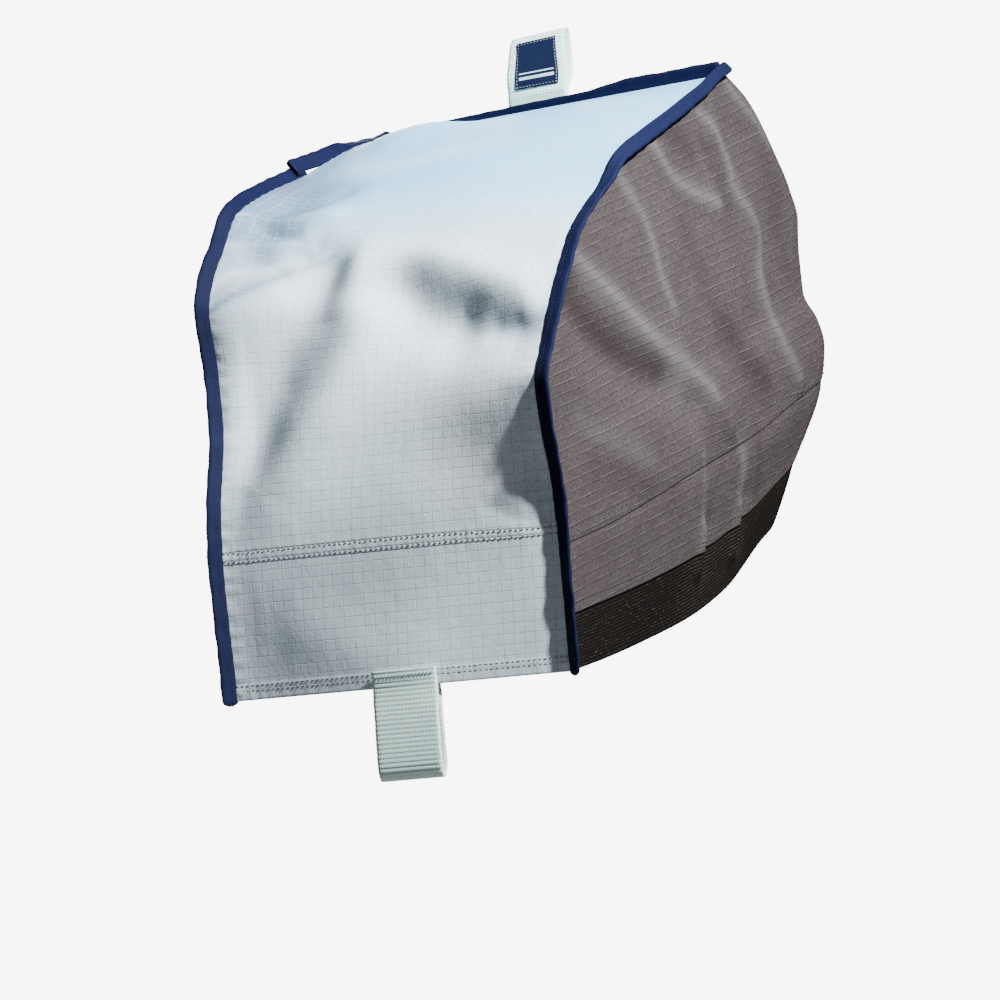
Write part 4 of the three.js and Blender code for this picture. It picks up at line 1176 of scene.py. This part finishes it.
def rear_base(share, out, up):
    middle = strip_point(REAR_LOOP["centre"], 0.0)
    hem = strip_point(REAR_LOOP["centre"] + share * REAR_LOOP["width"], np.maximum(up, 0))
    y = mix(hem[..., 1], middle[1], smooth(-up, 3, 18))
    return np.stack([hem[..., 0], y + out, hem[..., 2] + np.minimum(up, 0)], -1)


def top_base(share, out, up):
    """A point of the top loop, which narrows and tips a little towards its fold."""
    drawn_in = smooth(up, 14, 48)
    across = share * TOP_LOOP["width"] * (1 - 0.13 * drawn_in)
    base = front_edge(TOP_LOOP["centre"] - 1.2 * drawn_in + across * math.cos(TOP_LOOP["turn"]))
    turned = -across * math.sin(TOP_LOOP["turn"]) * smooth(up, 8, 26)
    lean = np.maximum(up - TAPE_HEIGHT, 0) * math.tan(TOP_LOOP["lean"])
    tip = across * 0.05 * drawn_in
    return np.stack([base[..., 0], base[..., 1] + TOP_LOOP["seat"] + turned + out + lean,
                     base[..., 2] + up + tip], -1)


def build_loops():
    outside = -2.25
    rear = webbing_loop("rear_pull", [
        (outside + 0.6, 11.5), (outside + 0.4, 4), (outside, -6), (-3.45, -24), (-4.25, -44), (-3.85, -56),
        (-1.05, -60.5), (2.55, -56), (3.95, -44), (3.55, -24), (3.35, -6), (3.15, 4), (3.15, 11)],
        rear_base, REAR_LOOP["width"], WEBBING_THICKNESS)
    height, wide = TOP_LOOP["height"], TOP_LOOP["open"]
    top = webbing_loop("top_pull", [
        (0, 1.4), (0, 10), (-0.6, 22), (-0.8, height - 8), (wide * 0.22, height - 1), (wide * 0.7, height),
        (wide, height - 7), (wide - 0.6, 24), (4, 13), (2, 3.4)],
        top_base, TOP_LOOP["width"], WEBBING_THICKNESS)
    return rear, top


def label_point(across, up, out):
    return top_base(np.asarray(across) / TOP_LOOP["width"], out, LABEL_LOWEST + np.asarray(up))


def build_label():
    half, tall = LABEL_HALF_WIDTH, LABEL_TALL
    across, up = np.meshgrid(np.linspace(-half, half, 60), np.linspace(0, tall, 60))
    rim = smooth(np.minimum(half - abs(across), np.minimum(up, tall - up)), 0, 1.2)
    slack = 0.12 * np.sin(across / 4.7 + 0.6) * np.sin(up / 6.1 + 0.4) * rim
    grid = label_point(across, up, -1.9 - 0.35 * rim - slack)
    piece = cloth_sheet("label_patch", grid, {"weave": np.stack([across, up], -1)}, 0.6)
    return dress(piece, LABEL)


def label_rows():
    half, low, high, lift = LABEL_HALF_WIDTH - 1.3, 1.3, LABEL_TALL - 1.3, -2.2
    up = np.linspace(low, high, 30)
    across = np.linspace(-half, half, 30)
    return [label_point(np.full_like(up, -half), up, lift), label_point(np.full_like(up, half), up, lift),
            label_point(across, np.full_like(across, low), lift),
            label_point(across, np.full_like(across, high), lift)]


# Put together

strip_upper, strip_skirt = build_strip()
wrap_upper, wrap_skirt = build_wrap()
hem_band = build_band()
(*near_path, near_height), (*far_path, _), front_tape_path = binding_path(1), binding_path(-1), front_path()
near_tape = tape("near_tape", *near_path, seed=11, height=near_height)
far_tape = tape("far_tape", *far_path, seed=21)
front_tape = tape("front_tape", *front_tape_path, seed=31,
                  height=FRONT_TAPE(front_tape_path[0][:, 0])["height"])
rear_pull, top_pull = build_loops()
label_patch = build_label()

strip_stitches = sewn_rows("strip_stitches", [
    strip_line(lambda across: seam_rows(across)[0] - seam_rows(across)[1], 0.1),
    strip_line(lambda across: seam_rows(across)[0] + seam_rows(across)[1], 0.08),
    strip_line(6.6, 0.02), strip_line(10.0, 0.02)], PALE_STITCH, 2.6, 0.5, PALE_THREAD)
wrap_stitches = sewn_rows("wrap_stitches", [wrap_line(2.0, 0.0, drop=7.0), wrap_line(2.0, 0.0, drop=1.5)],
                          TAUPE_STITCH, 2.3, 0.62, TAUPE_THREAD)
band_stitches = sewn_rows("band_stitches", [wrap_line(1.0, 0.35, drop=-2.0)], 3.2, 2.4, 0.55, TAUPE_THREAD)
tape_lines = [line for path in (near_path, far_path, front_tape_path) for line in tape_rows(path, 1.9, 1.12)]
tape_stitches = sewn_rows("tape_stitches", tape_lines, 3.1, 2.2, 0.4, NAVY_THREAD)
across_rear = np.linspace(-0.44, 0.44, 40)
across_top = np.linspace(-0.43, 0.43, 40)
loop_stitches = sewn_rows("loop_stitches", [rear_base(across_rear, np.full(40, -2.95), np.full(40, 8.6)),
                                            top_base(across_top, np.full(40, -0.95), np.full(40, 9.8))],
                          2.6, 2.0, 0.6, SAND_THREAD)
label_stitches = sewn_rows("label_stitches", label_rows(), 2.2, 1.6, 0.4, PALE_THREAD)

PIECES = [
    (strip_upper, "pale_cloth", ["back_and_top"]), (strip_skirt, "pale_cloth", ["back_skirt"]),
    (wrap_upper, "dark_cloth", ["side_wrap"]), (wrap_skirt, "dark_cloth", ["side_skirt"]),
    (hem_band, "elastic", ["elastic_band"]), (near_tape, "binding", ["binding_near"]),
    (far_tape, "binding", ["binding_far"]), (front_tape, "binding", ["binding_front"]),
    (rear_pull, "webbing", ["rear_loop"]), (top_pull, "webbing", ["top_loop"]),
    (label_patch, "label", ["loop_label"]), (strip_stitches, "pale_cloth", []),
    (wrap_stitches, "dark_cloth", []), (band_stitches, "dark_cloth", []),
    (tape_stitches, "binding", []), (loop_stitches, "webbing", []), (label_stitches, "label", []),
]
for piece, slot, nodes in PIECES:
    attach(piece, "root")
    if nodes:
        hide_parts(*nodes)

# Floor, light and camera

floor_mesh = bpy.data.meshes.new("floor")
ring = [(FLOOR_RADIUS * math.cos(turn), FLOOR_MIDDLE_Y + FLOOR_RADIUS * math.sin(turn), FLOOR_HEIGHT)
        for turn in np.linspace(0, 2 * math.pi, FLOOR_SIDES, endpoint=False)]
floor_mesh.from_pydata(ring, [], [list(range(FLOOR_SIDES))])
floor = bpy.data.objects.new("floor", floor_mesh)
bpy.context.collection.objects.link(floor)
dress(floor, pale_floor())


def lamp(name, azimuth, elevation, distance, size, power, tint=(1, 1, 1), beam=180):
    """A soft lamp aimed at the cover's middle. Azimuth 0 is behind the viewer of the back, and 90 is
    the near side."""
    light = bpy.data.lights.new(name, "AREA")
    light.shape, light.size, light.energy, light.color = "DISK", size, power, tint
    light.spread = math.radians(beam)
    holder = bpy.data.objects.new(name, light)
    bpy.context.collection.objects.link(holder)
    turn, rise = math.radians(azimuth), math.radians(elevation)
    way = Vector((math.sin(turn) * math.cos(rise), -math.cos(turn) * math.cos(rise), math.sin(rise)))
    middle = Vector((0, 0, -0.17))
    holder.location = middle + way * distance
    holder.rotation_euler = (-way).to_track_quat("-Z", "Y").to_euler()
    return holder


lamp("key", 71, 40, 3.0, 0.11, 27, (0.91, 0.98, 1.0), 40)
lamp("sky", -20, 72, 3.0, 2.0, 2.1, (0.66, 0.84, 1.0), 60)
lamp("far_fill", 215, 10, 3.2, 1.6, 24, (0.97, 0.98, 1.0), 60)

world = bpy.data.worlds.new("white_room")
bpy.context.scene.world = world
world.use_nodes = True
room = world.node_tree
backdrop = room.nodes["Background"]
backdrop.inputs["Color"].default_value = (1, 1, 1, 1)
backdrop.inputs["Strength"].default_value = 8.0
glow = room.nodes.new("ShaderNodeBackground")
glow.inputs["Color"].default_value = (0.95, 0.92, 1.0, 1)
glow.inputs["Strength"].default_value = 0.07
seen = room.nodes.new("ShaderNodeLightPath")
choose = room.nodes.new("ShaderNodeMixShader")
room.links.new(seen.outputs["Is Camera Ray"], choose.inputs[0])
room.links.new(glow.outputs[0], choose.inputs[1])
room.links.new(backdrop.outputs[0], choose.inputs[2])
room.links.new(choose.outputs[0], room.nodes["World Output"].inputs["Surface"])

camera_data = bpy.data.cameras.new("camera")
camera_data.sensor_width = 36
camera_data.lens = 498.3
camera_data.clip_end = 100
camera = bpy.data.objects.new("camera", camera_data)
bpy.context.collection.objects.link(camera)
right = Vector((0.91006914, 0.40518889, -0.08715574))
up = Vector((0.07962073, 0.03544943, 0.9961947))
back = Vector((0.40673664, -0.91354546, 0.0))
turned = Matrix((right, up, back)).transposed().to_4x4()
camera.matrix_world = Matrix.Translation((3.74892, -8.47825, -0.25088)) @ turned
bpy.context.scene.camera = camera
